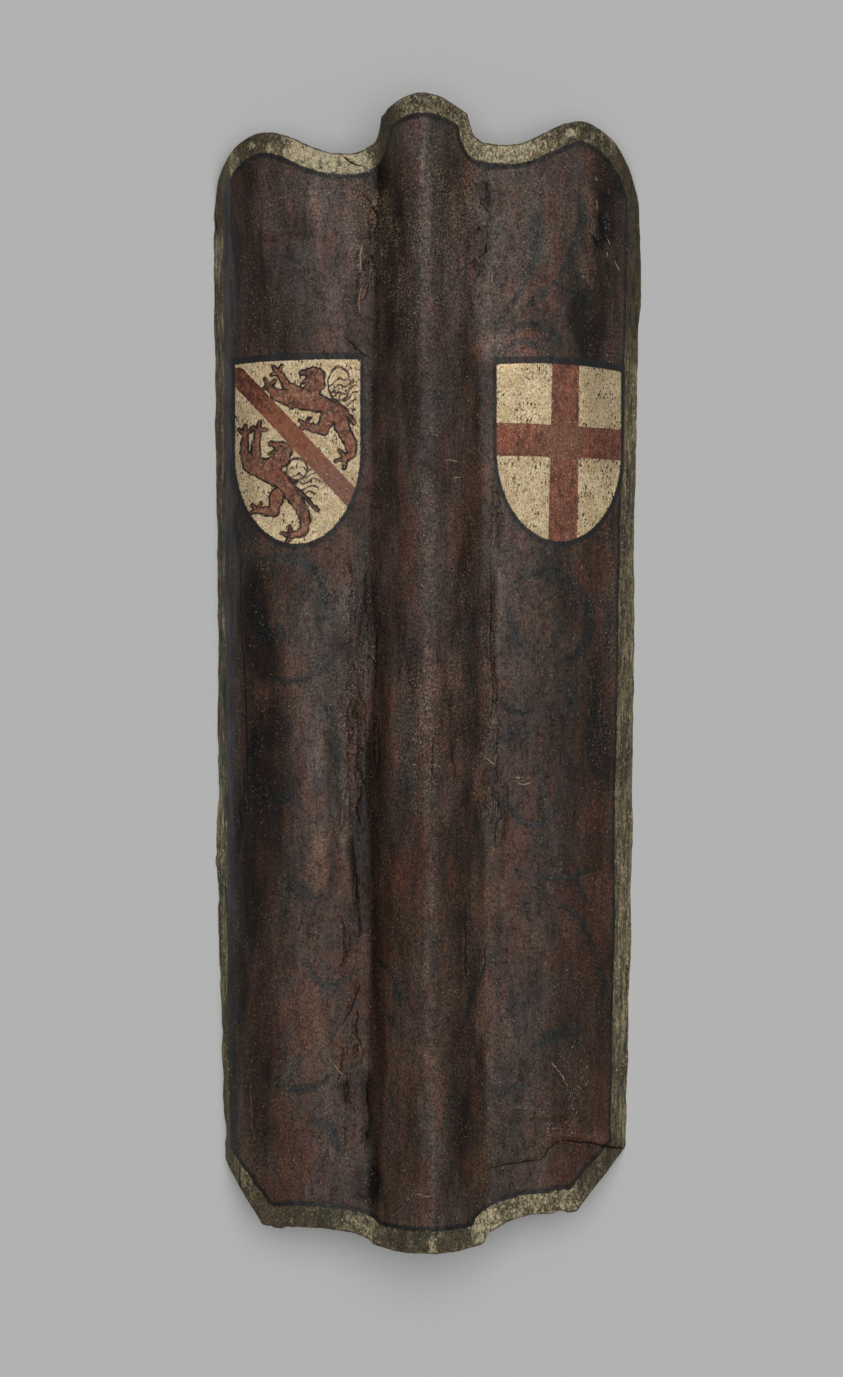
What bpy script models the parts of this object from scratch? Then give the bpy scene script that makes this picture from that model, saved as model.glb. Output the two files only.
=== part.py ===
"""A pavise: a tall wooden shield with a keel down its middle.

It lies on its back with the painted face up. X runs across the shield, Y from its bottom edge
to its top edge, and Z up. The floor is z = 0, and both long edges are cut flat to rest on it.
All sizes are in metres.
"""

import math
from dataclasses import dataclass

import bmesh
import bpy

# Whole shield
LENGTH = 1.286
BOARD_THICKNESS = 0.012
CROWN_HEIGHT = 0.080

# Keel ridge: its height over the floor and its drift from the middle of the shield
RIDGE_HEIGHT_BOTTOM = 0.124
RIDGE_HEIGHT_TOP = 0.130
RIDGE_SHIFT_BOTTOM = 0.005
RIDGE_SHIFT_MIDDLE = 0.001
RIDGE_SHIFT_TOP = -0.006

# Share of a quarter round that the panels turn through on the way to the long edges
SIDE_TURN = 0.93

# Shape of the curves: how a size changes along the shield, how edges sweep off the keel, and
# the largest share of a panel between its valley and its crown
TAPER_POWER = 1.5
SWEEP_POWER = 3.3
CROWN_LIMIT = 0.8

# Ends of the keel, cut nearly straight
KEEL_CAP_DROP_TOP = 0.016
KEEL_CAP_DROP_BOTTOM = 0.004
CAP_SHARE = 0.92

# Mesh and cutting
COLUMNS = 56
ROWS = 38
EDGE_CROWDING = 0.5
RUN_OUT = 0.014
FLOOR_CUT_MARGIN = 0.05


@dataclass(frozen=True)
class Side:
    """Sizes of one half of the shield, left or right of the ridge.

    Half widths run from the middle of the shield to the long edge, keel sizes from the ridge to
    the valley. A drop is measured from the keel's top end down, a rise from its bottom end up,
    and a reach across the panel: notch and hem from the valley, corner and cut from the long edge.
    """

    sign: int
    half_width_bottom: float
    half_width_middle: float
    half_width_top: float
    keel_bottom: float
    keel_middle: float
    keel_top: float
    keel_fullness: float
    valley_dip: float
    crown_reach: float
    notch_drop: float
    notch_reach: float
    lobe_rise: float
    corner_reach: float
    corner_drop: float
    hem_rise: float
    hem_reach: float
    cut_reach: float
    cut_rise: float


LEFT = Side(
    sign=-1,
    half_width_bottom=0.2280,
    half_width_middle=0.2388,
    half_width_top=0.2455,
    keel_bottom=0.072,
    keel_middle=0.067,
    keel_top=0.049,
    keel_fullness=0.60,
    valley_dip=0.008,
    crown_reach=0.050,
    notch_drop=0.061,
    notch_reach=0.044,
    lobe_rise=0.0265,
    corner_reach=0.061,
    corner_drop=0.077,
    hem_rise=0.0230,
    hem_reach=0.086,
    cut_reach=0.0425,
    cut_rise=0.066,
)

RIGHT = Side(
    sign=1,
    half_width_bottom=0.2240,
    half_width_middle=0.2362,
    half_width_top=0.2460,
    keel_bottom=0.066,
    keel_middle=0.070,
    keel_top=0.056,
    keel_fullness=0.76,
    valley_dip=0.003,
    crown_reach=0.024,
    notch_drop=0.051,
    notch_reach=0.040,
    lobe_rise=0.0275,
    corner_reach=0.075,
    corner_drop=0.104,
    hem_rise=0.0385,
    hem_reach=0.086,
    cut_reach=0.057,
    cut_rise=0.066,
)


def along(share: float, bottom: float, middle: float, top: float) -> float:
    """A size that changes smoothly from the bottom edge (share 0) to the top edge (share 1)."""
    away = 2.0 * share - 1.0
    end = top if away > 0.0 else bottom
    return middle + (end - middle) * abs(away) ** TAPER_POWER


def blend(start: float, end: float, share: float) -> float:
    """Straight mix of two values."""
    return start + (end - start) * share


def clamp(value: float) -> float:
    """Value held between 0 and 1."""
    return min(1.0, max(0.0, value))


def ridge_place(share: float) -> float:
    """X of the keel's ridge."""
    return along(share, RIDGE_SHIFT_BOTTOM, RIDGE_SHIFT_MIDDLE, RIDGE_SHIFT_TOP)


def keel_width(side: Side, share: float) -> float:
    """Width of the keel's flank, from the ridge to the valley."""
    return along(share, side.keel_bottom, side.keel_middle, side.keel_top)


def panel_width(side: Side, share: float) -> float:
    """Width of the panel, from the valley to the long edge."""
    half_width = along(share, side.half_width_bottom, side.half_width_middle, side.half_width_top)
    return half_width - side.sign * ridge_place(share) - keel_width(side, share)


def place_across(side: Side, station: float, share: float) -> float:
    """X of a station: 0 is the ridge, 1 the valley, 2 the long edge."""
    flank = min(station, 1.0) * keel_width(side, share)
    panel = max(station - 1.0, 0.0) * panel_width(side, share)
    return ridge_place(share) + side.sign * (flank + panel)


def quarter_turn(share: float, turn: float) -> float:
    """Fall of a quarter round that stops short at turn, scaled to run from 0 to 1."""
    return (1.0 - math.sqrt(1.0 - (turn * share) ** 2)) / (1.0 - math.sqrt(1.0 - turn * turn))


def panel_height(side: Side, station: float, share: float) -> float:
    """Height of the panel's face over the floor."""
    width = panel_width(side, share)
    reach = (station - 1.0) * width
    crown = min(side.crown_reach, CROWN_LIMIT * width)
    if reach < crown:
        return CROWN_HEIGHT - side.valley_dip * (1.0 - reach / crown) ** 2
    fall = (reach - crown) / (width - crown)
    if fall <= 1.0:
        return CROWN_HEIGHT * (1.0 - quarter_turn(fall, SIDE_TURN))
    rest = math.sqrt(1.0 - SIDE_TURN**2)
    end_slope = SIDE_TURN**2 / (rest * (1.0 - rest))
    return -CROWN_HEIGHT * end_slope * (fall - 1.0)


def section_height(side: Side, station: float, share: float) -> float:
    """Height of the painted face over the floor."""
    if station >= 1.0:
        return panel_height(side, station, share)
    bell = ((1.0 + math.cos(math.pi * station)) / 2.0) ** side.keel_fullness
    ridge = blend(RIDGE_HEIGHT_BOTTOM, RIDGE_HEIGHT_TOP, share)
    return blend(CROWN_HEIGHT - side.valley_dip, ridge, bell)


def foot_curve(station: float, start: float, end: float) -> float:
    """Falls from 1 at start to 0 at end, steep first: the edge's sweep off the keel."""
    return clamp((end - station) / (end - start)) ** SWEEP_POWER


def top_edge(side: Side, station: float) -> float:
    """Y of the top edge: keel end, notch, lobe and rounded corner."""
    tip = LENGTH / 2.0
    if station < CAP_SHARE:
        return tip - KEEL_CAP_DROP_TOP * (station / CAP_SHARE) ** 2
    width = panel_width(side, 1.0)
    notch = tip - side.notch_drop
    notch_end = 1.0 + side.notch_reach / width
    if station < notch_end:
        cap_corner = tip - KEEL_CAP_DROP_TOP
        return notch + (cap_corner - notch) * foot_curve(station, CAP_SHARE, notch_end)
    lobe_top = 2.0 - side.corner_reach / width
    rise = clamp((station - notch_end) / max(lobe_top - notch_end, 0.01))
    lobe = notch + side.lobe_rise * (1.0 - math.cos(math.pi * rise)) / 2.0
    turn = clamp((station - lobe_top) / (2.0 - lobe_top))
    return lobe - side.corner_drop * (1.0 - math.sqrt(1.0 - turn * turn))


def bottom_edge(side: Side, station: float) -> float:
    """Y of the bottom edge: keel end, hem of the panel and cut corner."""
    tip = -LENGTH / 2.0
    if station < CAP_SHARE:
        return tip + KEEL_CAP_DROP_BOTTOM * (station / CAP_SHARE) ** 3
    width = panel_width(side, 0.0)
    hem = tip + side.hem_rise
    hem_start = 1.0 + side.hem_reach / width
    cap_corner = tip + KEEL_CAP_DROP_BOTTOM
    sweep = hem + (cap_corner - hem) * foot_curve(station, CAP_SHARE, hem_start)
    cut = clamp((station - 2.0) * width / side.cut_reach + 1.0)
    return sweep + side.cut_rise * cut


def grid_station(column: float) -> float:
    """Station of a grid column, from 0 at the ridge to 2 at the outermost column."""
    crowded = math.sin(column * math.pi / 2.0)
    return blend(column, crowded, EDGE_CROWDING) * 2.0


def face_point(across: float, lengthwise: float) -> tuple[float, float, float]:
    """Point of the painted face for grid places from -1 to 1 each way."""
    side = RIGHT if across >= 0.0 else LEFT
    station = grid_station(abs(across))
    share = (lengthwise + 1.0) / 2.0
    y = blend(bottom_edge(side, station), top_edge(side, station), share)
    level = y / LENGTH + 0.5
    if math.isclose(abs(across), 1.0, abs_tol=1e-5):
        station = 2.0 + RUN_OUT / panel_width(side, level)
    return place_across(side, station, level), y, section_height(side, station, level)


def new_collection(name: str) -> bpy.types.Collection:
    """Adds an empty collection to the scene."""
    collection = bpy.data.collections.new(name)
    bpy.context.scene.collection.children.link(collection)
    return collection


def painted_wood() -> bpy.types.Material:
    """Dark brown paint over hide and wood."""
    material = bpy.data.materials.new("painted_board")
    material.use_nodes = True
    shader = material.node_tree.nodes["Principled BSDF"]
    shader.inputs["Base Color"].default_value = (0.045, 0.027, 0.023, 1.0)
    shader.inputs["Roughness"].default_value = 0.5
    shader.inputs["Metallic"].default_value = 0.0
    return material


def floor_cutter(collection: bpy.types.Collection) -> bpy.types.Object:
    """Block under the floor that cuts the long edges flat."""
    depth = CROWN_HEIGHT + FLOOR_CUT_MARGIN
    bpy.ops.mesh.primitive_cube_add(size=1.0, location=(0.0, 0.0, -depth / 2.0))
    cutter = bpy.context.object
    cutter.name = "floor_cutter"
    cutter.scale = (
        2.0 * (max(LEFT.half_width_top, RIGHT.half_width_top) + FLOOR_CUT_MARGIN),
        LENGTH + 2.0 * FLOOR_CUT_MARGIN,
        depth,
    )
    cutter.hide_render = True
    cutter.display_type = "WIRE"
    for owner in list(cutter.users_collection):
        owner.objects.unlink(cutter)
    collection.objects.link(cutter)
    return cutter


def pavise_board(collection: bpy.types.Collection, cutter: bpy.types.Object) -> bpy.types.Object:
    """The whole board: a mapped grid made solid and cut flat at the floor."""
    mesh = bpy.data.meshes.new("pavise_board")
    grid = bmesh.new()
    bmesh.ops.create_grid(grid, x_segments=COLUMNS, y_segments=ROWS, size=1.0)
    for vertex in grid.verts:
        vertex.co = face_point(vertex.co.x, vertex.co.y)
    grid.to_mesh(mesh)
    grid.free()
    mesh.shade_smooth()

    board = bpy.data.objects.new("pavise_board", mesh)
    collection.objects.link(board)
    board.data.materials.append(painted_wood())

    shell = board.modifiers.new("board thickness", "SOLIDIFY")
    shell.thickness = BOARD_THICKNESS
    shell.offset = -1.0
    shell.use_even_offset = True

    cut = board.modifiers.new("flat long edges", "BOOLEAN")
    cut.operation = "DIFFERENCE"
    cut.solver = "EXACT"
    cut.object = cutter
    return board


def main() -> None:
    """Empties the scene and builds the shield."""
    for old in list(bpy.data.objects):
        bpy.data.objects.remove(old, do_unlink=True)
    cutter = floor_cutter(new_collection("cutters"))
    pavise_board(new_collection("pavise"), cutter)


main()
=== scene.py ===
"""Looks of a pavise: a tall wooden shield with a keel, covered with hide and painted.

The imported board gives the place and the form. One fine mesh stands for it, with the folds, cracks
and losses of its cover. Two small coats of arms, a border and faded scrollwork are painted on.
All sizes are in metres unless a name says millimetres.
"""

import logging
import math
from dataclasses import dataclass, field
from enum import Enum
from typing import Sequence, Union

import bpy
import numpy as np
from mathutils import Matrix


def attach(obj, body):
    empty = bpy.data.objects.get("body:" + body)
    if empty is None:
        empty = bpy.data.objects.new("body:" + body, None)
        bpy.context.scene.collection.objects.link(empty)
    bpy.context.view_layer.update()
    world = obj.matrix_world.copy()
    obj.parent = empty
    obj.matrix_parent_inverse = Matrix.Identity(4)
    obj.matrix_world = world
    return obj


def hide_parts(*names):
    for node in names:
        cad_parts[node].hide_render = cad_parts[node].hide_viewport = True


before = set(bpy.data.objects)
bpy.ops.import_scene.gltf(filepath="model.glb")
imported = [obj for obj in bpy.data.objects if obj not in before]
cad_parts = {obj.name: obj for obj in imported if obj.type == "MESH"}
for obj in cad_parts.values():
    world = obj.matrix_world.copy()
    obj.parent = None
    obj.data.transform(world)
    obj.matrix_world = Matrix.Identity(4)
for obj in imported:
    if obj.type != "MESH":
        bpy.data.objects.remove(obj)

MM = 0.001
Array = np.ndarray
Socket = bpy.types.NodeSocket
Feed = Union["Signal", float, Sequence[float]]
Color = tuple[float, float, float]
Place = tuple[float, float]
Path = tuple[Place, ...]
Rim = tuple[Array, Array]

log = logging.getLogger("pavise")


class Finish(Enum):
    """Material slots of the shield, in their order."""

    FIELD = 0
    LIONS = 1
    CROSS = 2
    BACK = 3


@dataclass(frozen=True)
class HalfForm:
    """Sizes of one half of the board, left or right of the ridge, in metres.

    Half widths run from the middle of the shield to the long edge, keel sizes from the ridge to
    the valley. A drop is measured from the keel's top end down, a rise from its bottom end up,
    and a reach across the panel: notch and hem from the valley, corner and cut from the edge.
    """

    sign: int
    half_width: tuple[float, float, float]
    keel: tuple[float, float, float]
    keel_fullness: float
    valley_dip: float
    crown_reach: float
    notch_drop: float
    notch_reach: float
    lobe_rise: float
    corner_reach: float
    corner_drop: float
    hem_rise: float
    hem_reach: float
    cut_reach: float
    cut_rise: float


LEFT_HALF = HalfForm(
    sign=-1,
    half_width=(0.2280, 0.2388, 0.2455),
    keel=(0.072, 0.067, 0.049),
    keel_fullness=0.60,
    valley_dip=0.008,
    crown_reach=0.050,
    notch_drop=0.061,
    notch_reach=0.044,
    lobe_rise=0.0265,
    corner_reach=0.061,
    corner_drop=0.077,
    hem_rise=0.0230,
    hem_reach=0.086,
    cut_reach=0.0425,
    cut_rise=0.066,
)

RIGHT_HALF = HalfForm(
    sign=1,
    half_width=(0.2240, 0.2362, 0.2460),
    keel=(0.066, 0.070, 0.056),
    keel_fullness=0.76,
    valley_dip=0.003,
    crown_reach=0.024,
    notch_drop=0.051,
    notch_reach=0.040,
    lobe_rise=0.0275,
    corner_reach=0.075,
    corner_drop=0.104,
    hem_rise=0.0385,
    hem_reach=0.086,
    cut_reach=0.057,
    cut_rise=0.066,
)


def clamp(value: Array) -> Array:
    """Values held between 0 and 1."""
    return np.clip(value, 0.0, 1.0)


@dataclass(frozen=True)
class BoardForm:
    """The bent board's painted face as a formula, the same one that its solid follows.

    A station says how far a point lies from the ridge: 0 is the ridge, 1 the valley and 2 the
    long edge. A share says how far it lies up the shield: 0 is the bottom, 1 the top.
    """

    length: float = 1.286
    thickness: float = 0.012
    crown_height: float = 0.080
    ridge_height: Place = (0.124, 0.130)
    ridge_shift: tuple[float, float, float] = (0.005, 0.001, -0.006)
    side_turn: float = 0.93
    taper_power: float = 1.5
    sweep_power: float = 3.3
    crown_limit: float = 0.8
    cap_drop_top: float = 0.016
    cap_drop_bottom: float = 0.004
    cap_share: float = 0.92
    least_lobe: float = 0.01
    samples: int = 4001
    left: HalfForm = LEFT_HALF
    right: HalfForm = RIGHT_HALF

    def along(self, share: Array, sizes: tuple[float, float, float]) -> Array:
        """A size that runs smoothly from its bottom value over its middle one to its top one.

        Args:
            share: How far up the shield, 0 to 1.
            sizes: The size at the bottom, the middle and the top.

        Returns:
            The size at each share.
        """
        away = 2.0 * share - 1.0
        end = np.where(away > 0.0, sizes[2], sizes[0])
        return sizes[1] + (end - sizes[1]) * np.abs(away) ** self.taper_power

    def panel_width(self, half: HalfForm, share: Array) -> Array:
        """Width of a panel from its valley to its long edge, at each share up the shield."""
        ridge = self.along(share, self.ridge_shift)
        return self.along(share, half.half_width) - half.sign * ridge - self.along(share, half.keel)

    def across(self, half: HalfForm, station: Array, share: Array) -> Array:
        """X of the painted face.

        Args:
            half: The half's sizes.
            station: Stations from 0 to 2.
            share: Shares up the shield, of the same shape.

        Returns:
            X at each of them.
        """
        flank = np.minimum(station, 1.0) * self.along(share, half.keel)
        panel = np.maximum(station - 1.0, 0.0) * self.panel_width(half, share)
        return self.along(share, self.ridge_shift) + half.sign * (flank + panel)

    def quarter_turn(self, fall: Array) -> Array:
        """Fall of a quarter round that stops short, scaled to run from 0 to 1."""
        rest = 1.0 - np.sqrt(1.0 - self.side_turn**2)
        return (1.0 - np.sqrt(1.0 - (self.side_turn * fall) ** 2)) / rest

    def height(self, half: HalfForm, station: Array, share: Array) -> Array:
        """Height of the painted face over the floor.

        Args:
            half: The half's sizes.
            station: Stations from 0 to 2.
            share: Shares up the shield, of the same shape.

        Returns:
            The height at each of them.
        """
        width = self.panel_width(half, share)
        reach = (station - 1.0) * width
        crown = np.minimum(half.crown_reach, self.crown_limit * width)
        dip = self.crown_height - half.valley_dip * clamp(1.0 - reach / crown) ** 2
        fall = clamp((reach - crown) / (width - crown))
        panel = dip - self.crown_height * self.quarter_turn(fall)
        bell = ((1.0 + np.cos(np.pi * clamp(station))) / 2.0) ** half.keel_fullness
        valley = self.crown_height - half.valley_dip
        ridge = self.ridge_height[0] + (self.ridge_height[1] - self.ridge_height[0]) * share
        return np.where(station < 1.0, valley + (ridge - valley) * bell, panel)

    def sweep(self, station: Array, end: float) -> Array:
        """Falls from 1 where the keel's cap ends to 0 at a station: the sweep off the keel."""
        return clamp((end - station) / (end - self.cap_share)) ** self.sweep_power

    def top_edge(self, half: HalfForm, station: Array) -> Array:
        """Y of the top edge: keel end, notch, lobe and rounded corner.

        Args:
            half: The half's sizes.
            station: Stations from 0 to 2.

        Returns:
            Y at each station.
        """
        tip = self.length / 2.0
        width = float(self.panel_width(half, np.array(1.0)))
        cap = tip - self.cap_drop_top * (station / self.cap_share) ** 2
        notch = tip - half.notch_drop
        notch_end = 1.0 + half.notch_reach / width
        swept = notch + (half.notch_drop - self.cap_drop_top) * self.sweep(station, notch_end)
        lobe_top = 2.0 - half.corner_reach / width
        rise = clamp((station - notch_end) / max(lobe_top - notch_end, self.least_lobe))
        lobe = notch + half.lobe_rise * (1.0 - np.cos(np.pi * rise)) / 2.0
        turn = clamp((station - lobe_top) / (2.0 - lobe_top))
        panel = lobe - half.corner_drop * (1.0 - np.sqrt(1.0 - turn**2))
        return np.where(station < self.cap_share, cap, np.where(station < notch_end, swept, panel))

    def bottom_edge(self, half: HalfForm, station: Array) -> Array:
        """Y of the bottom edge: keel end, hem of the panel and cut corner.

        Args:
            half: The half's sizes.
            station: Stations from 0 to 2.

        Returns:
            Y at each station.
        """
        tip = -self.length / 2.0
        width = float(self.panel_width(half, np.array(0.0)))
        cap = tip + self.cap_drop_bottom * (station / self.cap_share) ** 3
        hem_end = 1.0 + half.hem_reach / width
        drop = half.hem_rise - self.cap_drop_bottom
        cut = clamp((station - 2.0) * width / half.cut_reach + 1.0)
        panel = tip + half.hem_rise - drop * self.sweep(station, hem_end) + half.cut_rise * cut
        return np.where(station < self.cap_share, cap, panel)

    def half_face(self, half: HalfForm, station: Array, share: Array) -> Array:
        """Points of one half's painted face.

        Args:
            half: The half's sizes.
            station: Stations from 0 to 2.
            share: Shares up the shield from 0 to 1, of the same shape.

        Returns:
            Points, with their three coordinates last.
        """
        low = self.bottom_edge(half, station)
        y = low + (self.top_edge(half, station) - low) * share
        level = y / self.length + 0.5
        x = self.across(half, station, level)
        return np.stack([x, y, self.height(half, station, level)], axis=-1)

    def flank_stations(self, half: HalfForm, columns: int) -> Array:
        """Stations that part one half's section into stretches of equal length.

        Args:
            half: The half's sizes.
            columns: How many stretches.

        Returns:
            The stations from 0 to 2, one more than there are stretches.
        """
        station = np.linspace(0.0, 2.0, self.samples)
        middle = np.full_like(station, 0.5)
        x = self.across(half, station, middle)
        z = self.height(half, station, middle)
        run = np.concatenate([[0.0], np.cumsum(np.hypot(np.diff(x), np.diff(z)))])
        return np.interp(np.linspace(0.0, run[-1], columns + 1), run, station)

    def face(self, columns: int, rows: int) -> Array:
        """The whole painted face as a grid of points.

        Args:
            columns: Stretches across each half.
            rows: Stretches from the bottom edge to the top edge.

        Returns:
            Points by row and column, from the bottom left corner.
        """
        share = np.linspace(0.0, 1.0, rows + 1)
        halves = []
        for half in (self.left, self.right):
            grid = np.meshgrid(self.flank_stations(half, columns), share)
            halves.append(self.half_face(half, *grid))
        return np.concatenate([halves[0][:, ::-1], halves[1][:, 1:]], axis=1)


def ease(value: Array, start: float, end: float) -> Array:
    """Smooth step of each value, from 0 at start to 1 at end."""
    share = clamp((value - start) / (end - start))
    return share * share * (3.0 - 2.0 * share)


def taper(share: Array, start: float, end: float, least: float = 0.0) -> Array:
    """Strength along a line: whole between two shares and down to the least at both ends."""
    return least + (1.0 - least) * ease(share, 0.0, start) * (1.0 - ease(share, end, 1.0))


def grid_normals(points: Array) -> Array:
    """Unit normals of a grid of points, on the side that its rows and columns turn towards."""
    normal = np.cross(np.gradient(points, axis=1), np.gradient(points, axis=0))
    return normal / np.linalg.norm(normal, axis=-1, keepdims=True)


def path_gaps(spots: Array, path: Array) -> tuple[Array, Array]:
    """Way to each spot from each stretch of a path, both flat.

    Args:
        spots: The spots.
        path: Points of the path.

    Returns:
        By spot and stretch, the share along the stretch of its nearest point, and the way from
        that point to the spot.
    """
    leg = np.diff(path, axis=0)
    share = clamp(((spots[:, None] - path[:-1]) * leg).sum(-1) / (leg**2).sum(-1))
    return share, spots[:, None] - path[:-1] - leg * share[..., None]


@dataclass(frozen=True)
class Ripple:
    """Uneven ground of one grain, the same on each run."""

    size_x: float
    size_y: float
    height: float
    seed: int
    knots: int = 64

    def at(self, x: Array, y: Array) -> Array:
        """Height of the ripple.

        Args:
            x: X of the places.
            y: Y of the places.

        Returns:
            The height at each place.
        """
        knots = self.knots
        lattice = np.random.default_rng(self.seed).uniform(-1.0, 1.0, (knots, knots))
        across, along = x / self.size_x + knots / 2, y / self.size_y + knots / 2
        column, row = np.floor(across).astype(int), np.floor(along).astype(int)
        right, up = ease(across - column, 0.0, 1.0), ease(along - row, 0.0, 1.0)
        levels = []
        for lift in (0, 1):
            start, end = (lattice[(row + lift) % knots, (column + push) % knots] for push in (0, 1))
            levels.append(start + (end - start) * right)
        return self.height * (levels[0] + (levels[1] - levels[0]) * up)


@dataclass(frozen=True)
class Line:
    """A line on the face, through a few points in plan, in millimetres.

    Widths are half widths at the line's start and end.
    """

    path_mm: Path
    widths_mm: Place = (2.0, 2.0)
    height_mm: float = 0.0
    curve_steps: int = 6

    def smooth_path(self) -> Array:
        """Curve through the line's own points.

        Returns:
            Points of the curve, in metres.
        """
        knots = np.array(self.path_mm) * MM
        if len(knots) < 3:
            return knots
        padded = np.concatenate([2 * knots[:1] - knots[1:2], knots, 2 * knots[-1:] - knots[-2:-1]])
        step = np.linspace(0.0, 1.0, self.curve_steps + 1)[:-1, None]
        runs = []
        for a, b, c, d in zip(padded, padded[1:], padded[2:], padded[3:]):
            bend = 2 * a - 5 * b + 4 * c - d
            twist = 3 * b - a - 3 * c + d
            runs.append(0.5 * (2 * b + (c - a) * step + bend * step**2 + twist * step**3))
        return np.concatenate([*runs, knots[-1:]])

    def width(self, share: Array) -> Array:
        """Half width at a share along the line, in metres."""
        return (self.widths_mm[0] + (self.widths_mm[1] - self.widths_mm[0]) * share) * MM

    def measure(self, x: Array, y: Array, reach: float) -> tuple[Array, Array, Array]:
        """Where each place lies from the line.

        Args:
            x: X of the places.
            y: Y of the places.
            reach: Distance past which a place only counts as far away.

        Returns:
            The distance, the signed distance across, and the share along the line.
        """
        path = self.smooth_path()
        low, high = path.min(axis=0) - reach, path.max(axis=0) + reach
        near = (x > low[0]) & (x < high[0]) & (y > low[1]) & (y < high[1])
        part, gap = path_gaps(np.stack([x[near], y[near]], axis=-1), path)
        leg = np.diff(path, axis=0)
        distance = np.linalg.norm(gap, axis=-1)
        nearest = distance.argmin(axis=1)
        pick = np.arange(len(nearest)), nearest
        side = np.sign(leg[nearest, 0] * gap[pick][:, 1] - leg[nearest, 1] * gap[pick][:, 0])
        away, across, share = np.full(x.shape, reach), np.full(x.shape, reach), np.zeros(x.shape)
        away[near] = np.minimum(distance[pick], reach)
        across[near] = side * away[near]
        share[near] = (nearest + part[pick]) / len(leg)
        return away, across, share


@dataclass(frozen=True)
class Patch:
    """An oval spot on the face, in millimetres in plan, with its own strength."""

    center_mm: Place
    reach_mm: Place
    strength: float
    full_share: float = 0.35

    def at(self, x: Array, y: Array) -> Array:
        """Strength of the spot at each place, soft towards its rim."""
        across = (x / MM - self.center_mm[0]) / self.reach_mm[0]
        along = (y / MM - self.center_mm[1]) / self.reach_mm[1]
        return self.strength * (1.0 - ease(np.hypot(across, along), self.full_share, 1.0))


def total(parts: Sequence[Ripple | Patch], x: Array, y: Array) -> Array:
    """Sum of several ripples or patches at each place."""
    return sum(part.at(x, y) for part in parts)


def raised_lines(*rows: tuple[float, ...]) -> tuple[Line, ...]:
    """Lines from rows of height, half width at the start and the end, and X, Y of each point."""
    return tuple(Line(tuple(zip(row[3::2], row[4::2])), row[1:3], row[0]) for row in rows)


def flat_lines(*rows: tuple[float, ...]) -> tuple[Line, ...]:
    """Lines from rows like those of raised_lines, without the height."""
    return raised_lines(*((0.0, *row) for row in rows))


def patches(*rows: tuple[float, ...]) -> tuple[Patch, ...]:
    """Patches from rows of X and Y of the middle, reach in X and in Y, and strength."""
    return tuple(Patch(row[:2], row[2:4], row[4]) for row in rows)


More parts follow.
